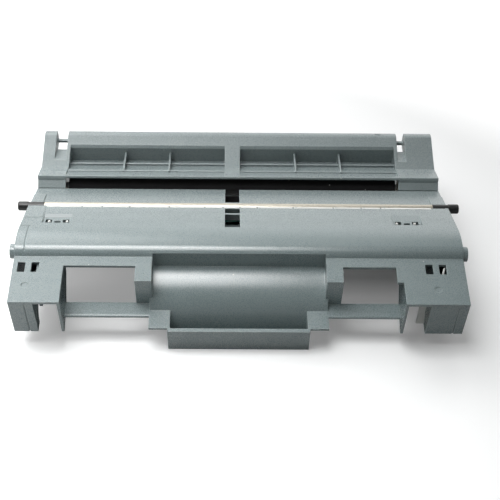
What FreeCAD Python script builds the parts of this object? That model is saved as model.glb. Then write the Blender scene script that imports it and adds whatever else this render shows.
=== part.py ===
import FreeCAD, Part
import math
import os
import re
import Sketcher

# Printer drum unit, lying upside down as it was set on a table.
# Every piece is modelled in the unit's own frame: X runs across the paper, Y from the grip to
# the drum, Z up, with the front plate's top face at Z = 0 and its front edge at Y = 0.
# At the end the whole unit is tilted to the pose in which it rests.

doc = FreeCAD.newDocument("drum_unit")

# Driving dimensions in millimetres and degrees.
sizes = {
    # Whole unit
    "body_width": 300,
    "paper_shift": 4.6,
    "wall": 2.2,
    "rest_tilt": 15.5,
    "run_gap": 0.05,
    "free_gap": 0.3,
    # Front plate and its feet
    "plate_depth": 35.7,
    "foot_drop": 33.6,
    "left_foot_wide": 16,
    "right_foot_wide": 25,
    "foot_groove": 1,
    "foot_side_depth": 16,
    "window_depth": 30,
    "pillar_front": 17.6,
    "shelf_drop": 25.4,
    "shelf_front": 6.9,
    "shelf_deep": 11.4,
    "shelf_thick": 2.4,
    "leg_thick": 1.8,
    "pillar_wide": 9,
    "left_leg_inset": 33.4,
    "right_leg_inset": 41.5,
    "right_strip": 4.1,
    "plate_hole_front": 24.5,
    "plate_hole_long": 8,
    "plate_hole_wide": 5,
    "dimple_radius": 2.3,
    "dimple_deep": 0.4,
    # Grip trough
    "trough_half": 60,
    "pocket_inset": 12.5,
    "trough_wall": 2,
    "trough_back": 39.2,
    "pocket_wall": 1.6,
    "grip_reach": 5.1,
    "grip_wall": 2.7,
    "grip_drop": 46.4,
    "swell_radius": 33.2,
    "swell_drop": 45,
    # Hood over the toner bay
    "crest_back": 45,
    "crest_rise": 4.2,
    "crest_radius": 8.8,
    "hood_radius": 40,
    "hood_slope": 27,
    "hood_end": 96,
    # Paper channel and band behind it
    "channel_end": 104.5,
    "channel_drop": 26.8,
    "band_end": 129.6,
    "band_end_drop": 36.4,
    "slot_inset": 25.2,
    # Lower edge of the side walls
    "skirt_mid_back": 60,
    "skirt_mid_drop": 42,
    "skirt_end_back": 112,
    "skirt_end_drop": 52,
    "rear_lift": 1.2,
    "left_bay_inset": 17.5,
    "right_bay_inset": 18.5,
    # Raised pads and the fine groove at the hood's ends
    "end_strip": 6.2,
    "groove_wide": 0.6,
    "groove_deep": 0.4,
    "pad_front": 78,
    "pad_wide": 13.2,
    "pad_rise": 0.35,
    "shoulder_back": 117.5,
    "shoulder_rise": 1.1,
    "shoulder_left": 8.8,
    "shoulder_right": 10.4,
    # Side bosses
    "side_boss_back": 43.5,
    "side_boss_drop": 2.5,
    "side_boss_radius": 5,
    "side_boss_long": 3.5,
    # Contact pockets in the hood and the sensor holes
    "contact_wide": 20,
    "contact_inset": 28.6,
    "contact_front": 69.5,
    "contact_back": 84.5,
    "contact_deep": 2.6,
    "contact_hole": 4.4,
    "sensor_half": 5.2,
    "sensor_front": 64.5,
    "sensor_bar": 84,
    # Pinch roller
    "pinch_back": 100,
    "pinch_drop": 22,
    "pinch_radius": 3,
    "pinch_journal": 2,
    "pinch_inset": 10.6,
    "cap_reach": 8.4,
    "cap_head": 3.4,
    "cap_head_long": 7.2,
    "guide_rib_thick": 1.2,
    "guide_rib_rise": 0.9,
    # Distances of the guide ribs from the middle of the paper
    "rib_centre": 6.1,
    "rib_card": 19.3,
    "rib_slip": 45.4,
    "rib_half_sheet": 73.9,
    "rib_narrow_sheet": 94.2,
    "rib_full_sheet": 108.8,
    # Transfer cover
    "seam_top_drop": 37.2,
    "seam_gap": 1.4,
    "lip_run": 6.2,
    "lip_edge": 0.8,
    "step_run": 4.7,
    "step_rise": 3.2,
    "step_tall": 2.3,
    "valley_run": 16.6,
    "flat_run": 11.2,
    "tail_run": 17,
    "tail_long": 10,
    "tail_corner": 4,
    "recess_inset": 2.2,
    "knee_run": 9.6,
    "recess_run": 23,
    "recess_bevel": 1.45,
    "left_arm_wide": 9.2,
    "right_arm_wide": 21,
    "block_rim": 2.6,
    "long_rib_inset": 9.5,
    "ramp_lead": 21.3,
    "ramp_run": 14.9,
    "ramp_fall": 4.9,
    "arm_bar_gap": 9.2,
    "arm_bar": 2.3,
    "lip_drop": 30.4,
    "valley_drop": 38.8,
    "flat_drop": 37,
    "tail_drop": 33.5,
    "tail_radius": 9,
    "seam_drop": 46,
    "recess_knee_drop": 38,
    "recess_drop": 51.3,
    "recess_skin": 1.8,
    "cover_skirt_drop": 57,
    "centre_bar_half": 5.8,
    "cross_rib_inner": 48.1,
    "cross_rib_outer": 82.5,
    "cross_rib_thick": 1.2,
    # Drum and transfer roller
    "transfer_back": 140.5,
    "transfer_drop": 44.5,
    "nip_angle": 25,
    "tooth_module": 0.8,
    "drum_teeth": 31,
    "roller_teeth": 14,
    "tooth_slack": 0.12,
    "drum_radius": 12,
    "drum_skin": 0.75,
    "drum_inset": 25,
    "drum_shaft_radius": 3,
    "drum_gear_face": 8,
    "flange_rim": 2.5,
    "plug_long": 8,
    "foam_radius": 5.7,
    "foam_inset": 26.8,
    "transfer_shaft_radius": 2.5,
    "roller_gear_face": 7,
    "bush_wide": 9,
    "bush_thick": 5,
    # Charger and drum cover
    "charger_angle": 35,
    "charger_gap": 1.5,
    "case_wide": 13,
    "case_deep": 12,
    "case_skin": 0.6,
    "case_inset": 32,
    "cleaner_rest": 13,
    "grid_skin": 0.2,
    "grid_bar": 0.8,
    "grid_pitch": 6,
    "wire_radius": 0.15,
    "cleaner_wide": 10,
    "cleaner_stem": 1.6,
    "cover_wall": 2,
    "cover_standoff": 31,
    "cover_front": 118.5,
    "cover_lip_drop": 66.5,
    "cover_foot_front": 126,
    "guide_front": 147.5,
    "guide_front_drop": 58.4,
    "guide_end": 186,
    "guide_end_drop": 71.5,
    "laser_front": 127.5,
    "laser_back": 135.5,
    "laser_inset": 38,
    # Press arms and lock lever
    "press_back": 24,
    "press_drop": 10,
    "press_reach": 18,
    "press_thick": 6,
    "press_inset": 25.5,
    "lock_back": 30,
    "lock_drop": 14,
    "lock_thick": 8,
    "lock_inset": 9.3,
    "lever_hub": 4.2,
    "pin_radius": 1.5,
    "pin_seat": 1.5,
    "coil_wire": 0.25,
    "coil_turns": 4,
    # Small parts
    "brush_front": 122,
    "brush_wide": 5,
    "brush_deep": 3.4,
    "brush_inset": 38,
    "holder_skin": 1.2,
    "film_front": 124,
    "film_end": 133.5,
    "film_skin": 0.3,
    "strip_back": 152,
    "strip_skin": 0.4,
    "strip_tall": 7,
    "strip_tooth": 3,
    "strip_pitch": 6,
    "screw_radius": 1.4,
    "screw_head": 2.8,
    "screw_head_thick": 1.8,
    "screw_long": 9,
    "screw_boss": 3.6,
    "front_screw_back": 129,
    "front_screw_drop": 73.5,
    "back_screw_back": 154,
    "back_screw_drop": 76,
    "top_screw_back": 162,
    "top_screw_drop": 50.5,
    "contact_plate": 0.5,
    "contact_pad": 8,
    "spring_seat": 3.6,
}

# Places worked out from the driving dimensions.
places = {
    "half": "body_width / 2",
    "paper": "-paper_shift",
    "left_leg": "half - left_leg_inset",
    "right_leg": "half - right_leg_inset",
    "window_inner": "trough_half + pillar_wide",
    "pocket_half": "trough_half - pocket_inset",
    "slot_half": "half - slot_inset",
    "inner_wall_left": "half - left_bay_inset",
    "inner_wall_right": "half - right_bay_inset",
    "contact_reach": "half - contact_inset",
    "pinch_half": "half - pinch_inset",
    "cap_tip": "half + cap_reach",
    "left_arm": "half - left_arm_wide",
    "right_arm": "half - right_arm_wide",
    "drum_half": "half - drum_inset",
    "foam_half": "half - foam_inset",
    "case_half": "half - case_inset",
    "cleaner_reach": "case_half - cleaner_rest",
    "laser_half": "half - laser_inset",
    "brush_half": "half - brush_inset",
    "press_offset": "half - press_inset",
    "lock_middle": "half - lock_inset",
    "seam_back": "band_end + seam_gap",
    "lip_back": "seam_back + lip_run",
    "lip_front": "lip_back - lip_edge",
    "valley_back": "lip_back + valley_run",
    "flat_back": "valley_back + flat_run",
    "tail_back": "flat_back + tail_run",
    "cover_end": "tail_back + tail_long",
    "recess_front": "lip_back + recess_inset",
    "recess_knee": "recess_front + knee_run",
    "recess_back": "recess_knee + recess_run",
    "long_rib_back": "recess_back - long_rib_inset",
    "ramp_front": "tail_back - ramp_lead",
    "ramp_back": "ramp_front + ramp_run",
    "arm_bar_front": "ramp_back + arm_bar_gap",
    "ramp_top": "-flat_drop + (flat_back - ramp_front) * (flat_drop - valley_drop) / flat_run",
    "recess_rim": "-flat_drop + (recess_back - flat_back) * (flat_drop - tail_drop) / tail_run",
    "crest_foot": "crest_back - sqrt(crest_radius ^ 2 - (crest_radius - crest_rise) ^ 2)",
    "hood_turn": "crest_back + hood_radius * sin(hood_slope)",
    "hood_turn_z": "crest_rise - hood_radius * (1 - cos(hood_slope))",
    "hood_end_z": "hood_turn_z - (hood_end - hood_turn) * tan(hood_slope)",
    "slant": "wall / cos(hood_slope)",
    "band_start_z": "-band_end_drop + (band_end - channel_end) * tan(hood_slope)",
    "slot_left": "paper - slot_half",
    "slot_right": "paper + slot_half",
    "gear_spacing": "tooth_module * (drum_teeth + roller_teeth) / 2",
    "transfer_z": "-transfer_drop",
    "drum_back": "transfer_back - gear_spacing * sin(nip_angle)",
    "drum_z": "-transfer_drop - gear_spacing * cos(nip_angle)",
    "drum_left": "paper - drum_half",
    "drum_right": "paper + drum_half",
    "charger_reach": "drum_radius + charger_gap + case_deep / 2",
    "charger_back": "drum_back + charger_reach * cos(charger_angle)",
    "charger_z": "drum_z - charger_reach * sin(charger_angle)",
    "foot_line": "-grip_drop - tan(rest_tilt) * grip_reach",
    "heel_back": "(cover_standoff + drum_back * cos(charger_angle) + (foot_line - drum_z)"
                 " * sin(charger_angle)) / (cos(charger_angle) + tan(rest_tilt) * sin(charger_angle))",
    "swell_turn": "trough_back - 0.6",
    "band_under": "-band_end_drop - slant + band_end * tan(hood_slope)",
    "bush_top": "transfer_z + bush_wide / 2",
}


def fill_sheet(name, cells):
    """Make a sheet with a name, a value and an alias in each row."""
    sheet = doc.addObject("Spreadsheet::Sheet", name)
    for row, (alias, cell) in enumerate(cells.items(), 1):
        sheet.set(f"A{row}", alias)
        sheet.set(f"B{row}", cell if isinstance(cell, str) else str(cell))
        sheet.setAlias(f"B{row}", alias)
    doc.recompute()
    return sheet


def bound(text):
    """Point each name in an expression at its cell."""
    def cell(word):
        name = word.group()
        if name in sizes:
            return "Sizes." + name
        if name in places:
            return "Places." + name
        return name
    return re.sub(r"[a-z_]+", cell, str(text))


sheet = fill_sheet("Sizes", sizes)
fill_sheet("Places", {name: "=" + bound(text) for name, text in places.items()})


def size(text):
    """Value of an expression, for shapes and first guesses that code works out."""
    return float(sheet.evalExpression(bound(text)))


def floor_at(back):
    """Height of the table under the resting unit, as seen in the unit's own frame."""
    return f"(foot_line - tan(rest_tilt) * ({back}))"


def new_sketch(name, plane, offset):
    """Empty sketch on the plane across the unit (YZ), on the plan (XY) or on the front (XZ)."""
    turns = {"YZ": (90, 0, 90), "XY": (0, 0, 0), "XZ": (0, 0, 90)}
    axis = {"YZ": "x", "XY": "z", "XZ": "y"}
    sketch = doc.addObject("Sketcher::SketchObject", name)
    sketch.Placement = FreeCAD.Placement(FreeCAD.Vector(), FreeCAD.Rotation(*turns[plane]))
    sketch.setExpression("Placement.Base." + axis[plane], bound(offset))
    return sketch


def hold_point(sketch, edge, end, across, up):
    """Tie one end of an edge to its place."""
    for kind, text in (("DistanceX", across), ("DistanceY", up)):
        tie = sketch.addConstraint(Sketcher.Constraint(kind, -1, 1, edge, end, size(text)))
        sketch.setExpression(f"Constraints[{tie}]", bound(text))


def arc_between(start, stop, radius, side):
    """Circle arc from start to stop, with its centre to the left or right of the way."""
    chord = stop - start
    reach = math.sqrt(max(radius ** 2 - (chord.Length / 2) ** 2, 0))
    normal = FreeCAD.Vector(-chord.y, chord.x, 0) / chord.Length
    centre = (start + stop) / 2 + normal * (reach if side == "left" else -reach)
    first, last = (start, stop) if side == "left" else (stop, start)
    angles = [math.atan2(spot.y - centre.y, spot.x - centre.x) for spot in (first, last)]
    circle = Part.Circle(centre, FreeCAD.Vector(0, 0, 1), radius)
    return Part.ArcOfCircle(circle, *angles)


def outline(sketch, corners):
    """Draw a closed outline. A corner is (across, up); (across, up, radius, side) reaches the
    corner by an arc whose centre lies on that side of the way."""
    spots = [FreeCAD.Vector(size(corner[0]), size(corner[1]), 0) for corner in corners]
    first = sketch.GeometryCount
    ends = []
    edges = []
    for index, corner in enumerate(corners):
        start = spots[index - 1]
        stop = spots[index]
        if len(corner) == 2:
            edges.append(Part.LineSegment(start, stop))
            ends.append((1, 2))
        else:
            edges.append(arc_between(start, stop, size(corner[2]), corner[3]))
            ends.append((1, 2) if corner[3] == "left" else (2, 1))
    sketch.addGeometry(edges, False)
    count = len(corners)
    links = []
    for index in range(count):
        after = (index + 1) % count
        links.append(Sketcher.Constraint("Coincident", first + index, ends[index][1],
                                         first + after, ends[after][0]))
    sketch.addConstraint(links)
    for index, corner in enumerate(corners):
        hold_point(sketch, first + index, ends[index][1], corner[0], corner[1])
        if len(corner) > 2:
            tie = sketch.addConstraint(Sketcher.Constraint("Radius", first + index, size(corner[2])))
            sketch.setExpression(f"Constraints[{tie}]", bound(corner[2]))


def extrude(name, sketch, length):
    solid = doc.addObject("Part::Extrusion", name)
    solid.Base = sketch
    solid.DirMode = "Normal"
    solid.setExpression("LengthFwd", bound(length))
    solid.Solid = True
    return solid


def across(name, left, right, *outlines):
    """Section in Y and Z, carried along X from left to right."""
    sketch = new_sketch(name + "_section", "YZ", left)
    for corners in outlines:
        outline(sketch, corners)
    return extrude(name, sketch, f"({right}) - ({left})")


def upright(name, bottom, top, *outlines):
    """Plan in X and Y, carried along Z from bottom to top."""
    sketch = new_sketch(name + "_plan", "XY", bottom)
    for corners in outlines:
        outline(sketch, corners)
    return extrude(name, sketch, f"({top}) - ({bottom})")


def rearward(name, front, back, *outlines):
    """Elevation in X and Z, carried along Y from back to front."""
    sketch = new_sketch(name + "_elevation", "XZ", back)
    for corners in outlines:
        outline(sketch, corners)
    return extrude(name, sketch, f"({back}) - ({front})")


def rod(name, left, right, back, height, radius):
    """Round bar or bore along X."""
    bar = doc.addObject("Part::Cylinder", name)
    bar.Placement = FreeCAD.Placement(FreeCAD.Vector(), FreeCAD.Rotation(FreeCAD.Vector(0, 1, 0), 90))
    bar.setExpression("Radius", bound(radius))
    bar.setExpression("Height", bound(f"({right}) - ({left})"))
    bar.setExpression("Placement.Base.x", bound(left))
    bar.setExpression("Placement.Base.y", bound(back))
    bar.setExpression("Placement.Base.z", bound(height))
    return bar


def post(name, place, back, bottom, top, radius):
    """Round peg or bore along Z."""
    peg = doc.addObject("Part::Cylinder", name)
    peg.setExpression("Radius", bound(radius))
    peg.setExpression("Height", bound(f"({top}) - ({bottom})"))
    peg.setExpression("Placement.Base.x", bound(place))
    peg.setExpression("Placement.Base.y", bound(back))
    peg.setExpression("Placement.Base.z", bound(bottom))
    return peg


def block(name, left, right, front, back, bottom, top):
    """Straight block or window between six planes."""
    box = doc.addObject("Part::Box", name)
    box.setExpression("Length", bound(f"({right}) - ({left})"))
    box.setExpression("Width", bound(f"({back}) - ({front})"))
    box.setExpression("Height", bound(f"({top}) - ({bottom})"))
    box.setExpression("Placement.Base.x", bound(left))
    box.setExpression("Placement.Base.y", bound(front))
    box.setExpression("Placement.Base.z", bound(bottom))
    return box


def fuse(name, solids):
    union = doc.addObject("Part::MultiFuse", name)
    union.Shapes = solids
    union.Refine = False
    return union


def cut(name, base, tools):
    """Take the tools away from the base."""
    result = doc.addObject("Part::Cut", name)
    result.Base = base
    result.Tool = tools[0] if len(tools) == 1 else fuse(name + "_tools", tools)
    result.Refine = False
    return result


def at_charger(name, item):
    """Carry what is made about the charger's own axes to the charger: its Z points at the drum."""
    turn = FreeCAD.Rotation(FreeCAD.Vector(1, 0, 0), 90 - size("charger_angle"))
    group = doc.addObject("Part::Compound", name)
    group.Links = [item]
    group.Placement = FreeCAD.Placement(FreeCAD.Vector(0, size("charger_back"), size("charger_z")), turn)
    return group


def turned(label, back, height, corners):
    """Piece turned about a line along X. A corner is (place along X, radius)."""
    body = doc.addObject("PartDesign::Body", label)
    profile = body.newObject("Sketcher::SketchObject", label + "_profile")
    origin = next(item for item in body.Origin.OriginFeatures if item.Role == "XY_Plane")
    profile.AttachmentSupport = [(origin, "")]
    profile.MapMode = "FlatFace"
    profile.setExpression("AttachmentOffset.Base.y", bound(back))
    profile.setExpression("AttachmentOffset.Base.z", bound(height))
    outline(profile, corners)
    turn = body.newObject("PartDesign::Revolution", label + "_turn")
    turn.Profile = profile
    turn.ReferenceAxis = (profile, ["H_Axis"])
    return piece(label, body)


pieces = []


def piece(label, item):
    """Name a finished piece of the unit."""
    item.Label = label
    if hasattr(item, "Refine"):
        item.Refine = True
    pieces.append(item)
    return item


def coded(label, shape):
    """Piece whose form comes from code, with its sizes read from the sheet."""
    item = doc.addObject("Part::Feature", label)
    item.Shape = shape
    return piece(label, item)


# Outer line of the hood, from the plate's front edge to the end of its straight slope.
hood_line = [
    ("0", "0"),
    ("crest_foot", "0"),
    ("crest_back", "crest_rise", "crest_radius", "right"),
    ("hood_turn", "hood_turn_z", "hood_radius", "right"),
    ("hood_end", "hood_end_z"),
]

both_sides = (("left", "-"), ("right", "+"))


def hood_height(back):
    """Height of the hood's straight outer slope."""
    return f"(hood_turn_z - (({back}) - hood_turn) * tan(hood_slope))"


def rectangle(left, right, front, back):
    return [(left, front), (right, front), (right, back), (left, back)]


def frame_skin():
    """Front plate, hood, roller channel and band as one sheet of even wall."""
    section = hood_line + [
        ("hood_end", "-channel_drop"),
        ("channel_end", "-channel_drop"),
        ("channel_end", "band_start_z"),
        ("band_end", "-band_end_drop"),
        ("band_end", "-band_end_drop - slant"),
        ("channel_end + wall", "band_start_z - slant - wall * tan(hood_slope)"),
        ("channel_end + wall", "-channel_drop - wall"),
        ("hood_end - wall", "-channel_drop - wall"),
        ("hood_end - wall", "hood_end_z - slant + wall * tan(hood_slope)"),
        ("hood_turn - wall * sin(hood_slope)", "hood_turn_z - wall * cos(hood_slope)"),
        ("crest_back", "crest_rise - wall", "hood_radius - wall", "left"),
        ("crest_foot + wall / 2", "-wall"),
        ("0", "-wall"),
    ]
    return across("skin", "-half", "half", section)


def frame_sides():
    """Outer side walls with the rear end that carries the covers, and the guide bosses."""
    section = hood_line + [
        ("channel_end", "band_start_z"),
        ("band_end", "-band_end_drop"),
        ("seam_back - 0.4", "-seam_top_drop - 0.4"),
        ("seam_back - 0.4", "-seam_drop"),
        ("cover_end", "-seam_drop"),
        ("cover_end", "-seam_drop - 16"),
        ("guide_end - 2", "-guide_end_drop - 6"),
        ("heel_back", floor_at("heel_back") + " + rear_lift"),
        ("cover_foot_front", floor_at("cover_foot_front") + " + rear_lift"),
        ("cover_front - 0.5", "-cover_lip_drop - 6"),
        ("skirt_end_back", "-skirt_end_drop"),
        ("skirt_mid_back", "-skirt_mid_drop"),
        ("window_depth", "-foot_drop"),
        ("0", "-foot_drop"),
    ]
    return [
        across("left_side", "-half", "-half + wall", section),
        across("right_side", "half - wall", "half", section),
        rod("left_boss", "-half - side_boss_long", "-half + 0.5", "side_boss_back", "-side_boss_drop",
            "side_boss_radius"),
        rod("right_boss", "half - 0.5", "half + side_boss_long", "side_boss_back", "-side_boss_drop",
            "side_boss_radius"),
    ]


def frame_inner_walls():
    """Walls beside the toner bay that also carry the drum and the transfer roller."""
    tower = "(bush_wide / 2 + wall)"
    section = [
        ("pillar_front", "-wall / 2"),
        ("crest_foot", "-wall / 2"),
        ("crest_back", "crest_rise - wall / 2"),
        ("hood_turn", "hood_turn_z - wall / 2"),
        ("hood_end", "hood_end_z - wall / 2"),
        ("channel_end", "band_start_z - wall / 2"),
        ("band_end - wall", "-band_end_drop - wall / 2"),
        (f"transfer_back - {tower}", "-seam_drop"),
        (f"transfer_back - {tower}", "transfer_z + bush_wide / 2 - 0.5"),
        (f"transfer_back + {tower}", "transfer_z + bush_wide / 2 - 0.5"),
        (f"transfer_back + {tower}", "-seam_drop - 9"),
        ("guide_front - 2", "drum_z"),
        ("drum_back + drum_shaft_radius + 5", "drum_z - 9"),
        ("drum_back - drum_shaft_radius - 5", "drum_z - 9"),
        ("skirt_end_back + 4", "-skirt_end_drop - 6"),
        ("skirt_end_back - 8", "-skirt_end_drop + 4"),
        ("skirt_mid_back", "-skirt_mid_drop + 2"),
        ("pillar_front", "-shelf_drop - 4"),
    ]
    return [
        across("left_inner", "-inner_wall_left - wall", "-inner_wall_left", section),
        across("right_inner", "inner_wall_right", "inner_wall_right + wall", section),
    ]


def swell_at(drop, inset="0"):
    """Where the swelling back of the trough stands at a given depth."""
    return f"(swell_turn - sqrt((swell_radius - {inset}) ^ 2 - (swell_drop - {drop}) ^ 2))"


def frame_trough():
    """Grip trough: a swelling back, two ledges and a deep pocket behind the grip wall."""
    shelf = "-shelf_drop"
    floor_top = "(grip_drop - trough_wall)"
    grip_inside = "-grip_reach + grip_wall"
    top = "-swell_drop + swell_radius"
    swell_top = [
        ("trough_back", "crest_rise / 2"),
        ("trough_back", top),
        ("swell_turn", top),
    ]
    swell_under = [
        ("swell_turn", top + " - trough_wall", "swell_radius - trough_wall", "right"),
        ("trough_back + trough_wall", top + " - trough_wall"),
        ("trough_back + trough_wall", "crest_rise / 2"),
    ]
    pocket = swell_top + [
        (swell_at(floor_top), f"-{floor_top}", "swell_radius", "left"),
        (grip_inside, f"-{floor_top}"),
        (grip_inside, shelf),
        ("-grip_reach", shelf),
        ("-grip_reach", "-grip_drop"),
        (swell_at("grip_drop", "trough_wall"), "-grip_drop"),
    ] + swell_under
    ledge = swell_top + [
        (swell_at("shelf_drop"), shelf, "swell_radius", "left"),
        (grip_inside, shelf),
        (grip_inside, shelf + " - trough_wall"),
        (swell_at("(shelf_drop + trough_wall)", "trough_wall"), shelf + " - trough_wall"),
    ] + swell_under
    cheek = [
        ("-grip_reach", shelf),
        (swell_at("shelf_drop") + " + 1", shelf),
        (swell_at("grip_drop", "trough_wall"), "-grip_drop"),
        ("-grip_reach", "-grip_drop"),
    ]
    end_wall = [
        ("pillar_front", "0"),
        ("crest_back", "0"),
        ("crest_back", top + " - trough_wall"),
        ("pillar_front", shelf + " - trough_wall"),
        (grip_inside, shelf + " - trough_wall"),
        (grip_inside, shelf),
        ("pillar_front", shelf),
    ]
    solids = [across("grip_pocket", "-pocket_half", "pocket_half", pocket)]
    for side, sign in both_sides:
        outer = f"{sign}trough_half"
        step = "+" if sign == "-" else "-"
        spans = (
            ("ledge", f"{sign}pocket_half", outer, ledge),
            ("cheek", f"{sign}pocket_half {step} pocket_wall", f"{sign}pocket_half", cheek),
            ("trough_end", f"{outer} {step} trough_wall", outer, end_wall),
        )
        for name, near, far, section in spans:
            left, right = (far, near) if side == "left" else (near, far)
            solids.append(across(f"{side}_{name}", left, right, section))
    return solids


def frame_front():
    """Pillars, shelves, legs and feet along the front."""
    shelf = [
        ("shelf_front + shelf_thick / 2", "-shelf_drop", "shelf_thick / 2", "right"),
        ("shelf_front + shelf_deep", "-shelf_drop"),
        ("shelf_front + shelf_deep", "-shelf_drop - shelf_thick"),
        ("shelf_front + shelf_thick / 2", "-shelf_drop - shelf_thick"),
    ]
    leg = [
        ("0", "0"),
        ("plate_depth", "0"),
        ("plate_depth", "-shelf_drop / 2"),
        ("pillar_front + wall", "-shelf_drop - shelf_thick"),
        ("2.5", "-foot_drop"),
        ("0", "-foot_drop"),
    ]
    foot_side = [
        ("0", "-wall / 2"),
        ("foot_side_depth", "-wall / 2"),
        ("foot_side_depth - 5", "-foot_drop / 3", "foot_drop / 3", "left"),
        ("foot_side_depth - 3", "-foot_drop * 2 / 3", "foot_drop / 4", "right"),
        ("foot_side_depth - 8", "-foot_drop", "foot_drop / 3", "left"),
        ("0", "-foot_drop"),
    ]
    solids = [
        across("left_shelf", "-left_leg", "-trough_half", shelf),
        across("right_shelf", "trough_half", "right_leg", shelf),
        across("left_leg_wall", "-left_leg - leg_thick", "-left_leg", leg),
        across("right_leg_wall", "right_leg", "right_leg + leg_thick", leg),
    ]
    pillars = (("left", "-window_inner", "-trough_half"), ("right", "trough_half", "window_inner"))
    for side, left, right in pillars:
        solids.append(block(side + "_pillar", left, right, "pillar_front", "pillar_front + wall",
                            "-shelf_drop - shelf_thick", "0"))
    feet = (("left", "-half", "-half + left_foot_wide", "-half + left_foot_wide - wall"),
            ("right", "half - right_foot_wide", "half", "half - right_foot_wide"))
    for side, left, right, inner in feet:
        solids.append(block(side + "_foot", left, right, "0", "wall", "-foot_drop", "-wall / 2"))
        solids.append(across(side + "_foot_side", inner, f"{inner} + wall", foot_side))
    return solids


def frame_openings():
    """Trough mouth and front windows, cut through the plate."""
    windows = upright("windows", "-wall - 1", "crest_rise + 1", [
        ("-left_leg", "-1"),
        ("-trough_half", "-1"),
        ("-trough_half", "pillar_front"),
        ("-window_inner", "pillar_front"),
        ("-window_inner", "window_depth"),
        ("-left_leg", "window_depth"),
    ], [
        ("trough_half", "-1"),
        ("right_leg", "-1"),
        ("right_leg", "pillar_front"),
        ("right_leg - right_strip", "pillar_front"),
        ("right_leg - right_strip", "window_depth"),
        ("window_inner", "window_depth"),
        ("window_inner", "pillar_front"),
        ("trough_half", "pillar_front"),
    ], rectangle("-trough_half + trough_wall", "trough_half - trough_wall", "-1", "trough_back"))
    mouth_front = block("mouth_front", "-trough_half - 1", "trough_half + 1", "-1", "pillar_front", "-wall - 1", "1")
    return [windows, mouth_front]


def frame_plate_holes():
    """Four square holes in the front plate and the grooves down the feet."""
    holes = []
    for place in ("-half + 3.2", "-half + 12.3", "half - 26.2", "half - 17.2"):
        holes.append(rectangle(place, f"{place} + plate_hole_wide", "plate_hole_front",
                               "plate_hole_front + plate_hole_long"))
    tools = [upright("plate_holes", "-wall - 1", "1", *holes)]
    grooves = []
    for place in ("-half + 10", "half - 7"):
        grooves.append(rectangle(place, f"{place} + foot_groove", "-1", "wall / 4"))
    tools.append(upright("foot_grooves", "-foot_drop - 1", "-wall - 1", *grooves))
    for name, place, back in (("left_dimple", "-half + 9.7", "13.7"), ("right_dimple", "half - 19.6", "12")):
        tools.append(post(name, place, back, "-dimple_deep", "1", "dimple_radius"))
    return tools


def frame_hood_groove():
    """Fine groove that sets off the hood's left end: along the crest, then out to the side."""
    front = "crest_back - 5"
    back = "hood_turn + 1.5"
    along = [
        (front, "crest_rise - groove_deep - 1.5"),
        ("crest_back", "crest_rise - groove_deep", "crest_radius - groove_deep", "right"),
        ("hood_turn", "hood_turn_z - groove_deep", "hood_radius - groove_deep", "right"),
        (back, hood_height(back) + " - groove_deep"),
        (back, "crest_rise + 1"),
        (front, "crest_rise + 1"),
    ]
    outward = [
        (back, hood_height(back) + " - groove_deep"),
        (back + " + groove_wide", hood_height(back + " + groove_wide") + " - groove_deep"),
        (back + " + groove_wide", "crest_rise + 1"),
        (back, "crest_rise + 1"),
    ]
    inner = "-half + end_strip"
    return [across("hood_groove", inner, inner + " + groove_wide", along),
            across("hood_groove_end", "-half - 1", inner + " + groove_wide", outward)]


def frame_shoulders():
    """Raised pads at both ends of the roller channel, on the hood and on the band."""
    hood_pad = [
        ("pad_front", hood_height("pad_front") + " - wall / 2"),
        ("pad_front", hood_height("pad_front") + " + pad_rise"),
        ("hood_end", "hood_end_z + pad_rise"),
        ("hood_end", "hood_end_z - wall / 2"),
    ]
    slope = "tan(hood_slope)"
    band_pad = [
        ("channel_end", "band_start_z - wall / 2"),
        ("channel_end", "band_start_z + shoulder_rise"),
        ("shoulder_back", f"band_start_z + shoulder_rise - (shoulder_back - channel_end) * {slope}"),
        ("shoulder_back", f"band_start_z - wall / 2 - (shoulder_back - channel_end) * {slope}"),
    ]
    return [
        across("left_hood_pad", "-half", "-half + pad_wide", hood_pad),
        across("left_shoulder", "-half", "-half + shoulder_left", band_pad),
        across("right_shoulder", "half - shoulder_right", "half", band_pad),
    ]


def contact_lower():
    return hood_height("contact_front") + " - contact_deep"


def frame_contact_floors():
    """Thickened floors behind the contact pockets."""
    front = "contact_front"
    back = "contact_back"
    middle_back = f"({front} + {back}) / 2"
    floor = [
        (f"{front} - wall", hood_height(f"{front} - wall") + " - wall / 2"),
        (f"{back} + 1", hood_height(f"{back} + 1") + " - wall / 2"),
        (middle_back, contact_lower() + " - 2.4 - wall"),
        (f"{front} - wall", contact_lower() + " - wall"),
    ]
    solids = []
    for side, sign in both_sides:
        middle = f"(paper {sign} contact_reach)"
        solids.append(across(side + "_contact_floor", middle + " - contact_wide / 2 - wall",
                             middle + " + contact_wide / 2 + wall", floor))
    return solids


def frame_contact_pockets():
    """Sunk contact fields in the hood, each with two square holes and a slot."""
    front = "contact_front"
    back = "contact_back"
    tray = [
        (front, hood_height(front) + " + 1"),
        (front, contact_lower()),
        (f"({front} + {back}) / 2", contact_lower() + " - 2.4"),
        (back, hood_height(back)),
        (back, hood_height(back) + " + 3"),
    ]
    tools = []
    holes = []
    for side, sign in both_sides:
        middle = f"(paper {sign} contact_reach)"
        tools.append(across(side + "_contact_pocket", middle + " - contact_wide / 2",
                            middle + " + contact_wide / 2", tray))
        for offset, wide, long in (("-6", "contact_hole", "contact_hole"),
                                   ("0", "contact_hole", "contact_hole * 0.6"),
                                   ("6", "contact_hole", "contact_hole")):
            holes.append(rectangle(f"{middle} + {offset} - {wide} / 2", f"{middle} + {offset} + {wide} / 2",
                                   front + " + 2.2", f"{front} + 2.2 + {long}"))
    tools.append(upright("contact_holes", contact_lower() + " - 8", contact_lower() + " + 2", *holes))
    return tools


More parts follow.
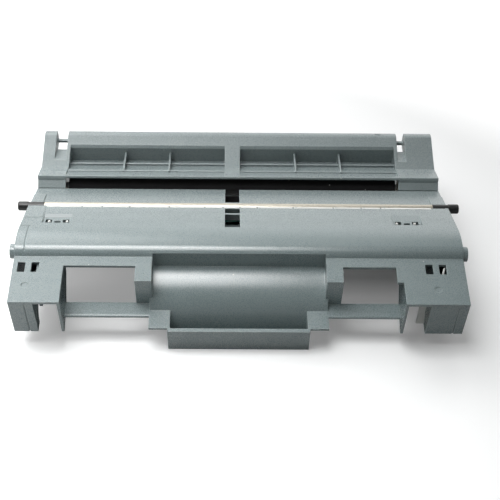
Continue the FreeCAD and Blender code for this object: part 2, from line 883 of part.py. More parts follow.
def frame_sensor_holes():
    """Openings on the paper's middle line for the machine's paper sensors."""
    left = "paper - sensor_half"
    right = "paper + sensor_half"
    return [upright("sensor_holes", "-band_end_drop - 6", "crest_rise + 1",
                    rectangle(left, right, "sensor_front", "sensor_bar"),
                    rectangle(left, right, "sensor_bar + 2", "hood_end - wall - 0.5"),
                    rectangle(left, right, "channel_end + wall + 0.6", "band_end + 1"))]


def frame_guide_ribs():
    """Low pointed ribs along the hood's edge that lead the sheet on to the roller."""
    outlines = []
    for name in ("rib_centre", "rib_card", "rib_slip", "rib_half_sheet", "rib_narrow_sheet", "rib_full_sheet"):
        for side, sign in both_sides:
            middle = f"paper {sign} {name}"
            outlines.append([
                (middle + " - guide_rib_thick / 2", "hood_end_z - 1"),
                (middle + " + guide_rib_thick / 2", "hood_end_z - 1"),
                (middle, "hood_end_z + guide_rib_rise"),
            ])
    return [rearward("guide_ribs", "hood_end - 2", "hood_end + 0.5", *outlines)]


def frame_roller_seats():
    """Blocks at both ends of the roller channel, which the bearing caps snap into."""
    seat = [
        ("hood_end - 0.5", "-channel_drop - 0.5"),
        ("hood_end - 0.5", "hood_end_z - 1"),
        ("channel_end + 0.5", "band_start_z - 0.5"),
        ("channel_end + 0.5", "-channel_drop - 0.5"),
    ]
    return [
        across("left_cap_seat", "-half", "-pinch_half - 1", seat),
        across("right_cap_seat", "pinch_half + 1", "half", seat),
    ]


def pin_lines():
    """Name, both ends and place of each steel pin that a lever turns on."""
    return (("press_pin_left", "-inner_wall_left - pin_seat", "-left_leg - leg_thick + pin_seat",
             "press_back", "press_drop"),
            ("press_pin_right", "right_leg + leg_thick - pin_seat", "inner_wall_right + pin_seat",
             "press_back", "press_drop"),
            ("lock_pin", "inner_wall_right + wall - pin_seat", "half - wall + pin_seat",
             "lock_back", "lock_drop"))


def screw_places():
    """Name and place of the screws that go in from both sides along X."""
    return (("front", "front_screw_back", "front_screw_drop"),
            ("back", "back_screw_back", "back_screw_drop"),
            ("top", "top_screw_back", "top_screw_drop"))


def contact_places():
    """Name and place of the contact plates on the left side wall."""
    return (("drum", "drum_back - 9", "drum_z + 4"),
            ("charger", "charger_back - 3", "charger_z + 6"),
            ("transfer", "transfer_back + 8", "transfer_z - 8"))


def frame_last_cuts():
    """Roller channel, cap seats, drum bores and bush slots."""
    tools = [
        block("roller_channel", "-pinch_half - 1", "pinch_half + 1", "hood_end", "channel_end",
              "-channel_drop", "hood_end_z - 1.6"),
        rod("cap_seats", "-half - 1", "half + 1", "pinch_back", "-pinch_drop", "pinch_radius + run_gap"),
        block("cap_entry", "-half - 1", "half + 1", "pinch_back - pinch_radius - run_gap",
              "pinch_back + pinch_radius + run_gap", "-pinch_drop", "crest_rise"),
        rod("drum_bore", "-half - 1", "half + 1", "drum_back", "drum_z", "drum_shaft_radius"),
        block("bush_slots", "-inner_wall_left - wall - 1", "inner_wall_right + wall + 1",
              "transfer_back - bush_wide / 2", "transfer_back + bush_wide / 2",
              "transfer_z - bush_wide / 2", "transfer_z + bush_wide"),
    ]
    for name, left, right, back, drop in pin_lines():
        tools.append(rod(name + "_bore", left, right, back, f"-{drop}", "pin_radius"))
    for name, back, drop in screw_places():
        tools.append(rod(name + "_screw_hole", "-half - 1", "half + 1", back, f"-{drop}", "screw_radius"))
    for name, back, height in contact_places():
        tools.append(block(name + "_contact_slot", "-half - 1", "-half + wall + 1", back,
                           f"({back}) + contact_plate", f"({height}) - contact_pad / 4",
                           f"({height}) + contact_pad / 4"))
    return tools


def make_main_frame():
    """The large moulding: plate, grip trough, hood, band and double side walls."""
    walls = fuse("frame_walls", [frame_skin()] + frame_sides() + frame_inner_walls() + frame_contact_floors())
    opened = cut("frame_opened", walls, frame_openings())
    hubs = []
    for side, start, stop in (("left", "-half", "-inner_wall_left - wall - 5"),
                              ("right", "inner_wall_right + wall + 5", "half")):
        hubs.append(rod(side + "_drum_hub", start, stop, "drum_back", "drum_z", "drum_shaft_radius + 2.5"))
    parts = [opened] + frame_trough() + frame_front() + frame_roller_seats() + frame_guide_ribs()
    whole = fuse("frame_whole", parts + frame_shoulders() + hubs)
    tools = frame_plate_holes() + frame_hood_groove() + frame_contact_pockets() + frame_sensor_holes()
    tools += frame_last_cuts()
    piece("main_frame", cut("frame", whole, tools))


cover_line = [
    ("seam_back", "-seam_top_drop"),
    ("seam_back + step_run", "-seam_top_drop + step_rise"),
    ("seam_back + step_run + 0.5", "-seam_top_drop + step_rise + step_tall"),
    ("lip_back", "-lip_drop"),
    ("valley_back", "-valley_drop"),
    ("flat_back", "-flat_drop"),
    ("tail_back", "-tail_drop"),
    ("cover_end", "-tail_drop - tail_radius", "tail_radius * 1.08", "right"),
]


def cover_bays():
    return (("left", "slot_left", "paper - centre_bar_half"),
            ("right", "paper + centre_bar_half", "slot_right"))


def cover_shell():
    """Outer skin of the rear cover with its end walls."""
    shell = cover_line + [
        ("cover_end", "-seam_drop"),
        ("cover_end - wall", "-seam_drop"),
        ("cover_end - wall", "-tail_drop - tail_radius"),
        ("tail_back", "-tail_drop - wall", "tail_radius * 1.08 - wall", "left"),
        ("flat_back", "-flat_drop - wall"),
        ("valley_back", "-valley_drop - wall"),
        ("lip_back + wall / 2", "-lip_drop - wall * 1.4"),
        ("seam_back + wall", "-seam_top_drop - wall * 0.6"),
        ("seam_back + wall", "-seam_drop + 4"),
        ("seam_back", "-seam_drop + 4"),
    ]
    side = cover_line + [
        ("cover_end", "-seam_drop"),
        ("seam_back", "-seam_drop"),
    ]
    arm_inner = cover_line + [
        ("cover_end", "-seam_drop"),
        ("valley_back", "-seam_drop"),
        ("valley_back", "-valley_drop - wall / 2"),
        ("lip_back + wall", "-lip_drop - wall * 1.5"),
        ("seam_back + wall", "-seam_top_drop - wall * 0.6"),
        ("seam_back", "-seam_drop + 4"),
    ]
    return [
        across("cover_skin", "-half", "half", shell),
        across("left_outer_wall", "-half", "-half + wall", side),
        across("left_arm_inner_wall", "-left_arm - wall", "-left_arm", arm_inner),
        across("right_arm_inner_wall", "right_arm", "right_arm + wall", arm_inner),
        across("right_outer_wall", "half - wall", "half", side),
    ]


def cover_recess():
    """Slanted floor, back wall, end plates and ribs of the recess on each side of the bar."""
    tray = [
        ("recess_front - 1", "-lip_drop - 1.4"),
        ("recess_knee", "-recess_knee_drop"),
        ("recess_back", "-recess_drop"),
        ("recess_back", "-flat_drop"),
        ("recess_back + recess_skin", "-flat_drop"),
        ("recess_back + recess_skin", "-cover_skirt_drop"),
        ("recess_back - 2", "-recess_drop - recess_skin"),
        ("recess_knee", "-recess_knee_drop - recess_skin * 1.15"),
        ("recess_front - 1", "-lip_drop - 1.4 - recess_skin * 1.15"),
    ]
    end_plate = [
        ("recess_front - 1", "-lip_drop - 2"),
        ("valley_back", "-valley_drop"),
        ("flat_back", "-flat_drop"),
        ("recess_back", "-flat_drop + 1"),
        ("recess_back", "-recess_drop - recess_skin"),
        ("recess_knee", "-recess_knee_drop - recess_skin"),
        ("recess_front - 1", "-lip_drop - 1.4 - recess_skin"),
    ]
    rib = [
        ("recess_knee - 2", "-recess_knee_drop + 2.6"),
        ("recess_back + 0.5", "-recess_knee_drop - 4"),
        ("recess_back + 0.5", "-recess_drop"),
        ("recess_knee", "-recess_knee_drop - 0.5"),
    ]
    slope = "((recess_drop - recess_knee_drop) / (recess_back - recess_knee))"
    long_floor = f"(-recess_knee_drop - {slope} * (long_rib_back - recess_knee))"
    long_rib = [
        ("long_rib_back - cross_rib_thick", long_floor + " + 0.3"),
        ("long_rib_back - cross_rib_thick", long_floor + " + 2.6"),
        ("long_rib_back", long_floor + " + 2.6"),
        ("long_rib_back", long_floor + " - 0.6"),
    ]
    knee_rib = [
        ("recess_knee - cross_rib_thick", "-recess_knee_drop"),
        ("recess_knee - cross_rib_thick", "-recess_knee_drop + 1.4"),
        ("recess_knee", "-recess_knee_drop + 1.4"),
        ("recess_knee", "-recess_knee_drop - 0.5"),
    ]
    tail_end = [
        ("recess_back", "-flat_drop"),
        ("tail_back", "-tail_drop - 0.5"),
        ("cover_end - 1", "-tail_drop - tail_radius"),
        ("cover_end - 1", "-seam_drop"),
        ("recess_back", "-seam_drop"),
    ]
    solids = [
        across("left_tail_end", "slot_left - block_rim", "slot_left - block_rim + recess_skin", tail_end),
        across("right_tail_end", "slot_right + block_rim - recess_skin", "slot_right + block_rim", tail_end),
    ]
    for name, left, right in cover_bays():
        solids.append(across(name + "_tray", left + " - recess_skin", right + " + recess_skin", tray))
        solids.append(across(name + "_end_plate", left + " - recess_skin", left, end_plate))
        solids.append(across(name + "_bar_plate", right, right + " + recess_skin", end_plate))
        solids.append(across(name + "_long_ribs", left, right, long_rib, knee_rib))
    for name in ("cross_rib_inner", "cross_rib_outer"):
        for side, sign in both_sides:
            middle = f"paper {sign} {name}"
            solids.append(across(f"{side}_{name}", middle + " - cross_rib_thick / 2",
                                 middle + " + cross_rib_thick / 2", rib))
    return solids


def cover_lugs():
    """Lugs inside the side walls that take the screws, and seats over the bush springs."""
    lug = ("top_screw_back - 5", "top_screw_back + 5", "-top_screw_drop - 4", "-seam_drop + 3")
    inside = "(half - wall - run_gap)"
    solids = [
        block("left_lug", f"-{inside}", "-left_arm - wall", *lug),
        block("right_lug", f"{inside} - 6", inside, *lug),
        block("right_lug_root", f"{inside} - 6", "half - wall / 2", "top_screw_back - 5", "top_screw_back + 5",
              "-seam_drop", "-seam_drop + 3"),
        block("left_lug_root", "-half + wall / 2", f"-{inside} + 6", "top_screw_back - 5",
              "top_screw_back + 5", "-seam_drop", "-seam_drop + 3"),
    ]
    for side, middle in bush_middles():
        solids.append(block(side + "_spring_seat", f"{middle} - spring_seat", f"{middle} + spring_seat",
                            "transfer_back - spring_seat", "transfer_back + spring_seat", "bush_top + 4",
                            "-lip_drop - 3"))
    return solids


def cover_arm_ramps():
    """Sunk strip beside each arm: a ramp down to the hole, and a bar across behind the hole."""
    ramp_end = "(ramp_top - ramp_fall)"
    ramp = [
        ("ramp_front - 1", "ramp_top"),
        ("ramp_front", "ramp_top"),
        ("ramp_back", ramp_end),
        ("ramp_back", ramp_end + " - wall"),
        ("ramp_front - 1", "ramp_top - wall"),
    ]
    strip_bar = [
        ("arm_bar_front", ramp_end),
        ("arm_bar_front + arm_bar", ramp_end),
        ("arm_bar_front + arm_bar", ramp_end + " - wall"),
        ("arm_bar_front", ramp_end + " - wall"),
    ]
    spans = (("left", "-left_arm - 0.5", "slot_left - block_rim + 0.5"),
             ("right", "slot_right + block_rim - 0.5", "right_arm + 0.5"))
    return [across(side + "_ramp", left, right, ramp, strip_bar) for side, left, right in spans]


def tail_corner_cuts():
    """Rounded corners at both outer ends of the tail and beside the sunk strips."""
    corners = (("-half", "+", "left"), ("-left_arm", "-", "right"), ("slot_left - block_rim", "+", "left"),
               ("slot_right + block_rim", "-", "right"), ("right_arm", "+", "left"), ("half", "-", "right"))
    plans = []
    for edge, inward, side in corners:
        outward = "-" if inward == "+" else "+"
        plans.append([
            (f"{edge} {outward} 0.5", "cover_end - tail_corner"),
            (edge, "cover_end - tail_corner"),
            (f"{edge} {inward} tail_corner", "cover_end", "tail_corner", "right" if inward == "+" else "left"),
            (f"{edge} {inward} tail_corner", "cover_end + 1"),
            (f"{edge} {outward} 0.5", "cover_end + 1"),
        ])
    return upright("tail_corners", "-seam_drop", "-tail_drop + 1", *plans)


def make_transfer_cover():
    """Rear cover: two arms, a deep ribbed recess on each side of a centre bar, a round tail."""
    recesses = []
    bevels = []
    bevel = [
        ("recess_back - 1", "recess_rim - recess_bevel - 1"),
        ("recess_back + recess_bevel + 1", "recess_rim + 1"),
        ("recess_back - 1", "recess_rim + 1"),
    ]
    for name, left, right in cover_bays():
        recesses.append(rectangle(left, right, "recess_front", "recess_back"))
        bevels.append(across(name + "_recess_bevel", left, right, bevel))
    recess_cut = upright("recess_cut", "-recess_drop - 10", "-lip_drop + 4", *recesses)
    paper_slot = across("paper_slot", "slot_left", "slot_right", [
        ("band_end", "-seam_drop"),
        ("lip_front + 2.6", "-lip_drop - 3.8"),
        ("lip_front", "-lip_drop - 1.9"),
        ("lip_front", "-lip_drop + 1"),
        ("band_end", "-lip_drop + 1"),
    ])
    spans = (("-left_arm", "slot_left - block_rim"), ("slot_right + block_rim", "right_arm"))
    strips = upright("sunk_strips", "-seam_drop - 2", "-lip_drop + 4",
                     *[rectangle(left, right, "ramp_front", "cover_end + 1") for left, right in spans])
    skin = cut("cover_opened", fuse("cover_walls", cover_shell()), [recess_cut, paper_slot, strips])
    whole = fuse("cover_whole", [skin] + cover_recess() + cover_lugs() + cover_arm_ramps())
    bore = rod("lug_bore", "-half", "half", "top_screw_back", "-top_screw_drop", "screw_radius")
    marks = [post(side + "_tail_mark", place, "tail_back + 4", "-tail_drop - 1.6", "-tail_drop + 1",
                  "dimple_radius")
             for side, place in (("left", "-half + 33.8"), ("right", "half - 41"))]
    piece("transfer_cover", cut("cover", whole, bevels + [tail_corner_cuts(), bore] + marks))


def make_drum_cover():
    """Lower cover: stands on the table, houses the charger and guides the paper out."""
    skin = "cover_wall"
    heel_z = floor_at("heel_back")
    guide_fall = "((guide_end_drop - guide_front_drop) / (guide_end - guide_front))"
    corner = "(heel_back + 14.3)"
    corner_z = f"(-guide_front_drop - {guide_fall} * ({corner} - guide_front))"
    section = [
        ("cover_front", "-cover_lip_drop"),
        ("cover_front + 1", "-cover_lip_drop - 10"),
        ("cover_foot_front", floor_at("cover_foot_front")),
        ("heel_back", heel_z),
        (corner, f"{corner_z} - {skin} * 1.06"),
        ("guide_end - 0.5", f"-guide_end_drop - {skin}"),
        ("guide_end", "-guide_end_drop"),
        ("guide_front", "-guide_front_drop"),
        ("guide_front + 0.7", f"-guide_front_drop - {skin}"),
        (f"{corner} - {skin} * 1.9", f"{corner_z} - {skin} * 0.55"),
        (f"heel_back - {skin} * 0.7", f"{heel_z} + {skin} * 1.15"),
        (f"cover_foot_front + {skin} * 0.7", f"{floor_at('cover_foot_front')} + {skin}"),
        (f"cover_front + 1 + {skin}", f"-cover_lip_drop - 10 + {skin} / 2"),
        (f"cover_front + {skin}", "-cover_lip_drop"),
    ]
    end_wall = [
        ("cover_front", "-cover_lip_drop"),
        ("cover_front + 1", "-cover_lip_drop - 10"),
        ("cover_foot_front", floor_at("cover_foot_front")),
        ("heel_back", heel_z),
        (corner, corner_z),
        ("guide_front + 4", "-cover_lip_drop"),
    ]
    edge = "(half - wall - run_gap)"
    solids = [
        across("lower_shell", f"-{edge}", edge, section),
        across("lower_left_end", f"-{edge}", f"-{edge} + wall", end_wall),
        across("lower_right_end", f"{edge} - wall", edge, end_wall),
    ]
    bores = []
    for name, back, drop in screw_places()[:2]:
        for side, left, right in (("left", f"-{edge}", f"-{edge} + screw_long"),
                                  ("right", f"{edge} - screw_long", edge)):
            solids.append(rod(f"{side}_{name}_boss", left, right, back, f"-{drop}", "screw_boss"))
            bores.append(rod(f"{side}_{name}_boss_bore", f"{left} - 1", f"{right} + 1", back, f"-{drop}",
                             "screw_radius"))
    walls = fuse("lower_walls", solids)
    laser_slot = block("laser_slot", "paper - laser_half", "paper + laser_half", "laser_front", "laser_back",
                       "-grip_drop * 3", "-cover_lip_drop - 4")
    cleaner_slot = block("cleaner_slot", "paper - cleaner_reach - 8", "paper + cleaner_reach + 8",
                         "-cleaner_stem / 2 - 0.6", "cleaner_stem / 2 + 0.6",
                         "charger_reach - cover_standoff - 4", "charger_reach - cover_standoff + cover_wall + 2")
    tools = [laser_slot, at_charger("cleaner_way", cleaner_slot)] + bores
    piece("drum_cover", cut("lower", walls, tools))


def make_pinch_roller():
    """Steel roller that lies in the hood's channel, and the two caps that it turns in."""
    end = "(pinch_half + 6)"
    turned("pinch_shaft", "pinch_back", "-pinch_drop", [
        (f"-{end}", "0"),
        (f"-{end}", "pinch_journal"),
        ("-pinch_half", "pinch_journal"),
        ("-pinch_half", "pinch_radius"),
        ("pinch_half", "pinch_radius"),
        ("pinch_half", "pinch_journal"),
        (end, "pinch_journal"),
        (end, "0"),
    ])
    for side, sign in both_sides:
        turned(f"pinch_cap_{side}", "pinch_back", "-pinch_drop", [
            (f"{sign}({end} + free_gap)", "0"),
            (f"{sign}({end} + free_gap)", "pinch_journal + run_gap"),
            (f"{sign}(pinch_half + free_gap)", "pinch_journal + run_gap"),
            (f"{sign}(pinch_half + free_gap)", "pinch_radius"),
            (f"{sign}(cap_tip - cap_head_long)", "pinch_radius"),
            (f"{sign}(cap_tip - cap_head_long)", "cap_head"),
            (f"{sign}(cap_tip - 0.6)", "cap_head"),
            (f"{sign}cap_tip", "cap_head - 0.6"),
            (f"{sign}cap_tip", "0"),
        ])


def make_drum():
    """Coated tube with its plain flange, and the shaft that they turn on."""
    tube_inside = "drum_radius - drum_skin"
    bore = "drum_shaft_radius + run_gap"
    turned("drum_tube", "drum_back", "drum_z", [
        ("drum_left", tube_inside),
        ("drum_left", "drum_radius"),
        ("drum_right", "drum_radius"),
        ("drum_right", tube_inside),
    ])
    turned("drum_flange", "drum_back", "drum_z", [
        ("drum_left - flange_rim", bore),
        ("drum_left - flange_rim", "drum_radius"),
        ("drum_left", "drum_radius"),
        ("drum_left", tube_inside),
        ("drum_left + plug_long", tube_inside + " - 0.5"),
        ("drum_left + plug_long", tube_inside + " - 2"),
        ("drum_left", tube_inside + " - 2"),
        ("drum_left", bore + " + 2"),
        ("drum_left + plug_long / 2", bore + " + 2"),
        ("drum_left + plug_long / 2", bore),
    ])
    turned("drum_shaft", "drum_back", "drum_z", [
        ("-half", "0"),
        ("-half", "drum_shaft_radius - 0.5"),
        ("-half + 0.5", "drum_shaft_radius"),
        ("half - 0.5", "drum_shaft_radius"),
        ("half", "drum_shaft_radius - 0.5"),
        ("half", "0"),
    ])


def involute_ring(teeth, module, slack, width, turn):
    """Spur gear about X with involute flanks. slack thins each tooth at its pitch line and turn
    is the angle of one tooth's middle, measured from Y towards Z."""
    pitch = teeth * module / 2
    base = pitch * math.cos(math.radians(20))
    tip = pitch + 0.9 * module
    root = pitch - 1.2 * module

    def flank_angle(radius):
        lead = math.acos(min(base / radius, 1))
        return math.tan(lead) - lead

    half_tooth = math.pi / teeth / 2 - slack / 2 / pitch + flank_angle(pitch)
    low = max(base, root)
    radii = [low + (tip - low) * step / 3 for step in range(4)]

    def spot(radius, angle):
        return FreeCAD.Vector(0, radius * math.cos(angle), radius * math.sin(angle))

    corners = []
    for index in range(teeth):
        middle = turn + 2 * math.pi * index / teeth
        rise = [spot(radius, middle - half_tooth + flank_angle(radius)) for radius in radii]
        fall = [spot(radius, middle + half_tooth - flank_angle(radius)) for radius in reversed(radii)]
        if root < base:
            rise.insert(0, spot(root, middle - half_tooth))
            fall.append(spot(root, middle + half_tooth))
        corners += rise + fall
    face = Part.Face(Part.makePolygon(corners + corners[:1]))
    return face.extrude(FreeCAD.Vector(width, 0, 0))


def bar(left, right, radius):
    """Round bar about the X axis."""
    return Part.makeCylinder(radius, right - left, FreeCAD.Vector(left, 0, 0), FreeCAD.Vector(1, 0, 0))


def make_gears():
    """Drum gear and roller gear, in mesh: a tooth of the roller gear faces a gap of the drum gear."""
    module = size("tooth_module")
    slack = size("tooth_slack")
    towards_roller = math.pi / 2 - math.radians(size("nip_angle"))
    drum_teeth = int(size("drum_teeth"))
    roller_teeth = int(size("roller_teeth"))
    left = size("drum_right")
    face = size("drum_gear_face")
    ring = involute_ring(drum_teeth, module, slack, face, towards_roller + math.pi / drum_teeth)
    ring.translate(FreeCAD.Vector(left, 0, 0))
    plug = bar(left - size("plug_long"), left, size("drum_radius - drum_skin"))
    bore = bar(left - size("plug_long") - 1, left + face + 1, size("drum_shaft_radius + run_gap"))
    gear = ring.fuse(plug).cut(bore).removeSplitter()
    gear.translate(FreeCAD.Vector(0, size("drum_back"), size("drum_z")))
    coded("drum_gear", gear)
    start = left + (face - size("roller_gear_face")) / 2
    wide = size("roller_gear_face")
    pinion = involute_ring(roller_teeth, module, slack, wide, towards_roller + math.pi)
    pinion.translate(FreeCAD.Vector(start, 0, 0))
    pinion = pinion.cut(bar(start - 1, start + wide + 1, size("transfer_shaft_radius")))
    pinion.translate(FreeCAD.Vector(0, size("transfer_back"), size("transfer_z")))
    coded("transfer_gear", pinion)


def bush_middles():
    return (("left", "(-inner_wall_left - wall / 2)"), ("right", "(inner_wall_right + wall / 2)"))


def make_transfer_roller():
    """Foam roller on its steel shaft, in two bushes that slide towards the drum."""
    end = "wall + 2"
    turned("transfer_shaft", "transfer_back", "transfer_z", [
        (f"-inner_wall_left - {end}", "0"),
        (f"-inner_wall_left - {end}", "transfer_shaft_radius"),
        (f"inner_wall_right + {end}", "transfer_shaft_radius"),
        (f"inner_wall_right + {end}", "0"),
    ])
    turned("transfer_foam", "transfer_back", "transfer_z", [
        ("paper - foam_half", "transfer_shaft_radius"),
        ("paper - foam_half", "foam_radius"),
        ("paper + foam_half", "foam_radius"),
        ("paper + foam_half", "transfer_shaft_radius"),
    ])
    for side, middle in bush_middles():
        cheek = "transfer_back - bush_wide / 2 + run_gap", "transfer_back + bush_wide / 2 - run_gap"
        bush = block(side + "_bush_block", f"{middle} - bush_thick / 2", f"{middle} + bush_thick / 2",
                     cheek[0], cheek[1], "transfer_z - bush_wide / 2 + run_gap", "transfer_z + bush_wide / 2")
        bore = rod(side + "_bush_bore", f"{middle} - bush_thick", f"{middle} + bush_thick", "transfer_back",
                   "transfer_z", "transfer_shaft_radius + run_gap")
        piece(f"transfer_bush_{side}", cut(side + "_bush", bush, [bore]))


def coil(left, radius, wire, pitch, turns):
    """Wire spring about the X axis, from left towards +X. The wire has six flat sides."""
    helix = Part.makeHelix(pitch, pitch * turns, radius)
    corners = []
    for index in range(7):
        angle = math.pi * (index % 6 + 0.5) / 3
        corners.append(FreeCAD.Vector(radius + wire * math.cos(angle), 0, wire * math.sin(angle)))
    spring = Part.Wire(helix).makePipeShell([Part.makePolygon(corners)], True, True)
    spring.rotate(FreeCAD.Vector(), FreeCAD.Vector(0, 1, 0), 90)
    spring.translate(FreeCAD.Vector(left, 0, 0))
    return spring


def make_transfer_springs():
    """Compression springs that push the roller's bushes towards the drum."""
    wire = size("coil_wire")
    room = size("bush_top + 4") - size("bush_top")
    turns = 3
    for side, middle in bush_middles():
        spring = coil(wire, size("spring_seat") - 1.2, wire, (room - 2 * wire) / turns, turns)
        spring.rotate(FreeCAD.Vector(), FreeCAD.Vector(0, 1, 0), -90)
        spring.translate(FreeCAD.Vector(size(middle), size("transfer_back"), size("bush_top")))
        coded(f"transfer_spring_{side}", spring)


def make_charger():
    """Metal channel with a grid and a thin wire, held at both ends, and its sliding cleaner."""
    left = "paper - case_half"
    right = "paper + case_half"
    side = "case_wide / 2"
    depth = "case_deep / 2"
    channel = across("case_channel", left, right, [
        (f"-{side}", depth),
        (f"-{side}", f"-{depth}"),
        (side, f"-{depth}"),
        (side, depth),
        (f"{side} - case_skin", depth),
        (f"{side} - case_skin", f"-{depth} + case_skin"),
        (f"-{side} + case_skin", f"-{depth} + case_skin"),
        (f"-{side} + case_skin", depth),
    ])
    way = block("case_way", "paper - cleaner_reach - 8", "paper + cleaner_reach + 8",
                "-cleaner_stem / 2 - 0.5", "cleaner_stem / 2 + 0.5", f"-{depth} - 1", f"-{depth} + 2")
    piece("charger_case", at_charger("case", cut("case_cut", channel, [way])))
    wire = rod("wire_run", "paper - case_half - 3", "paper + case_half + 3", "0", "1", "wire_radius")
    piece("charge_wire", at_charger("wire", wire))
    for name, sign in both_sides:
        outer = f"paper {sign} (case_half + 4)"
        rim = f"paper {sign} case_half"
        plug = f"paper {sign} (case_half - 6)"
        spans = ((outer, rim), (rim, plug)) if sign == "-" else ((rim, outer), (plug, rim))
        body = fuse(name + "_end", [
            block(name + "_end_rim", *spans[0], f"-{side}", side, f"-{depth}", depth),
            block(name + "_end_plug", *spans[1], f"-{side} + case_skin", f"{side} - case_skin",
                  f"-{depth} + case_skin", depth),
        ])
        bore = rod(name + "_end_bore", "paper - case_half - 3", "paper + case_half + 3", "0", "1",
                   "wire_radius + run_gap")
        piece(f"charger_end_{name}", at_charger(name + "_end_block", cut(name + "_end_cut", body, [bore])))
    home = "(paper - cleaner_reach)"
    skin = "(charger_reach - cover_standoff)"
    slider = fuse("cleaner", [
        block("cleaner_pad", f"{home} - cleaner_wide / 2", f"{home} + cleaner_wide / 2",
              f"-{side} + case_skin + free_gap + 0.1", f"{side} - case_skin - free_gap - 0.1",
              f"-{depth} + case_skin + free_gap + 0.1", f"{depth} - 1.4"),
        block("cleaner_neck", f"{home} - 2", f"{home} + 2", "-cleaner_stem / 2", "cleaner_stem / 2",
              f"{skin} - 1", f"-{depth} + case_skin + 1"),
        block("cleaner_tab", f"{home} - 6", f"{home} + 6", "-4", "4", f"{skin} - 3.5", f"{skin} - 0.5"),
    ])
    way = rod("cleaner_bore", f"{home} - cleaner_wide", f"{home} + cleaner_wide", "0", "1", "wire_radius + 0.5")
    piece("wire_cleaner", at_charger("cleaner_slider", cut("cleaner_cut", slider, [way])))


def make_grid():
    """Thin metal screen over the charger's mouth, pierced in two rows."""
    half = size("case_half")
    wide = size("case_wide")
    paper = size("paper")
    pitch = size("grid_pitch")
    edge = size("grid_bar")
    level = size("case_deep") / 2

    def panel(left, right, front, back):
        corners = [(left, front), (right, front), (right, back), (left, back), (left, front)]
        return Part.makePolygon([FreeCAD.Vector(x, y, level) for x, y in corners])

    sheet = Part.Face(panel(paper - half, paper + half, -wide / 2, wide / 2))
    holes = []
    count = int((2 * half - 20) / pitch)
    start = paper - count * pitch / 2
    for index in range(count):
        left = start + index * pitch
        for front, back in ((-wide / 2 + 2, -edge / 2), (edge / 2, wide / 2 - 2)):
            holes.append(Part.Face(panel(left + edge / 2, left + pitch - edge / 2, front, back)))
    grid = sheet.cut(Part.makeCompound(holes)).extrude(FreeCAD.Vector(0, 0, size("grid_skin")))
    item = doc.addObject("Part::Feature", "grid_sheet")
    item.Shape = grid
    piece("charger_grid", at_charger("grid", item))


def make_press_arm(side, sign):
    """Arm that pushes the toner case towards the drum, on its pin, with its spring."""
    middle = f"(paper {sign} press_offset)"
    low = "-press_drop - press_reach"
    arm = across(f"press_{side}_arm", f"{middle} - press_thick / 2", f"{middle} + press_thick / 2", [
        ("press_back - lever_hub", "-press_drop"),
        ("press_back - lever_hub + 0.6", low + " + 4"),
        ("press_back", low, "5.2", "left"),
        ("press_back + 6.5", low + " + 4.5", "6.4", "left"),
        ("press_back + lever_hub - 0.8", "-press_drop - 6"),
        ("press_back + lever_hub", "-press_drop"),
    ])
    hub = rod(f"press_{side}_hub", f"{middle} - press_thick / 2", f"{middle} + press_thick / 2",
              "press_back", "-press_drop", "lever_hub")
    bore = rod(f"press_{side}_bore", f"{middle} - press_thick", f"{middle} + press_thick",
               "press_back", "-press_drop", "pin_radius + run_gap")
    piece(f"press_arm_{side}", cut(f"press_{side}", fuse(f"press_{side}_whole", [arm, hub]), [bore]))
    wire = size("coil_wire")
    spring = coil(size(middle) + size("press_thick") / 2 + wire + size("free_gap"),
                  size("pin_radius") + wire + 0.1, wire, 2 * wire + 0.25, size("coil_turns"))
    spring.translate(FreeCAD.Vector(0, size("press_back"), -size("press_drop")))
    coded(f"press_spring_{side}", spring)


def make_lock_lever():
    """Thumb lever that holds the toner case in its bay, with its spring."""
    left = "lock_middle - lock_thick / 2"
    right = "lock_middle + lock_thick / 2"
    arm = across("lock_arm", left, right, [
        ("lock_back - lever_hub", "-lock_drop"),
        ("lock_back - 20", "-foot_drop + 6"),
        ("lock_back - 21", "-foot_drop + 2"),
        ("lock_back - 9", "-foot_drop + 2", "30", "left"),
        ("lock_back + 2", "-lock_drop - lever_hub + 0.5"),
        ("lock_back + 14", "-lock_drop - 7"),
        ("lock_back + 15.5", "-lock_drop - 3", "3", "left"),
        ("lock_back + lever_hub - 0.5", "-lock_drop + 1"),
    ])
    hub = rod("lock_hub", left, right, "lock_back", "-lock_drop", "lever_hub")
    bore = rod("lock_bore", f"{left} - 1", f"{right} + 1", "lock_back", "-lock_drop", "pin_radius + run_gap")
    piece("lock_lever", cut("lock", fuse("lock_whole", [arm, hub]), [bore]))
    wire = size("coil_wire")
    spring = coil(size(right) + wire + 0.1, size("pin_radius") + wire + 0.1, wire, 2 * wire + 0.05, 3)
    spring.translate(FreeCAD.Vector(0, size("lock_back"), -size("lock_drop")))
    coded("lock_spring", spring)


def make_pins():
    for name, left, right, back, drop in pin_lines():
        turned(name, back, f"-{drop}", [(left, "0"), (left, "pin_radius"), (right, "pin_radius"), (right, "0")])


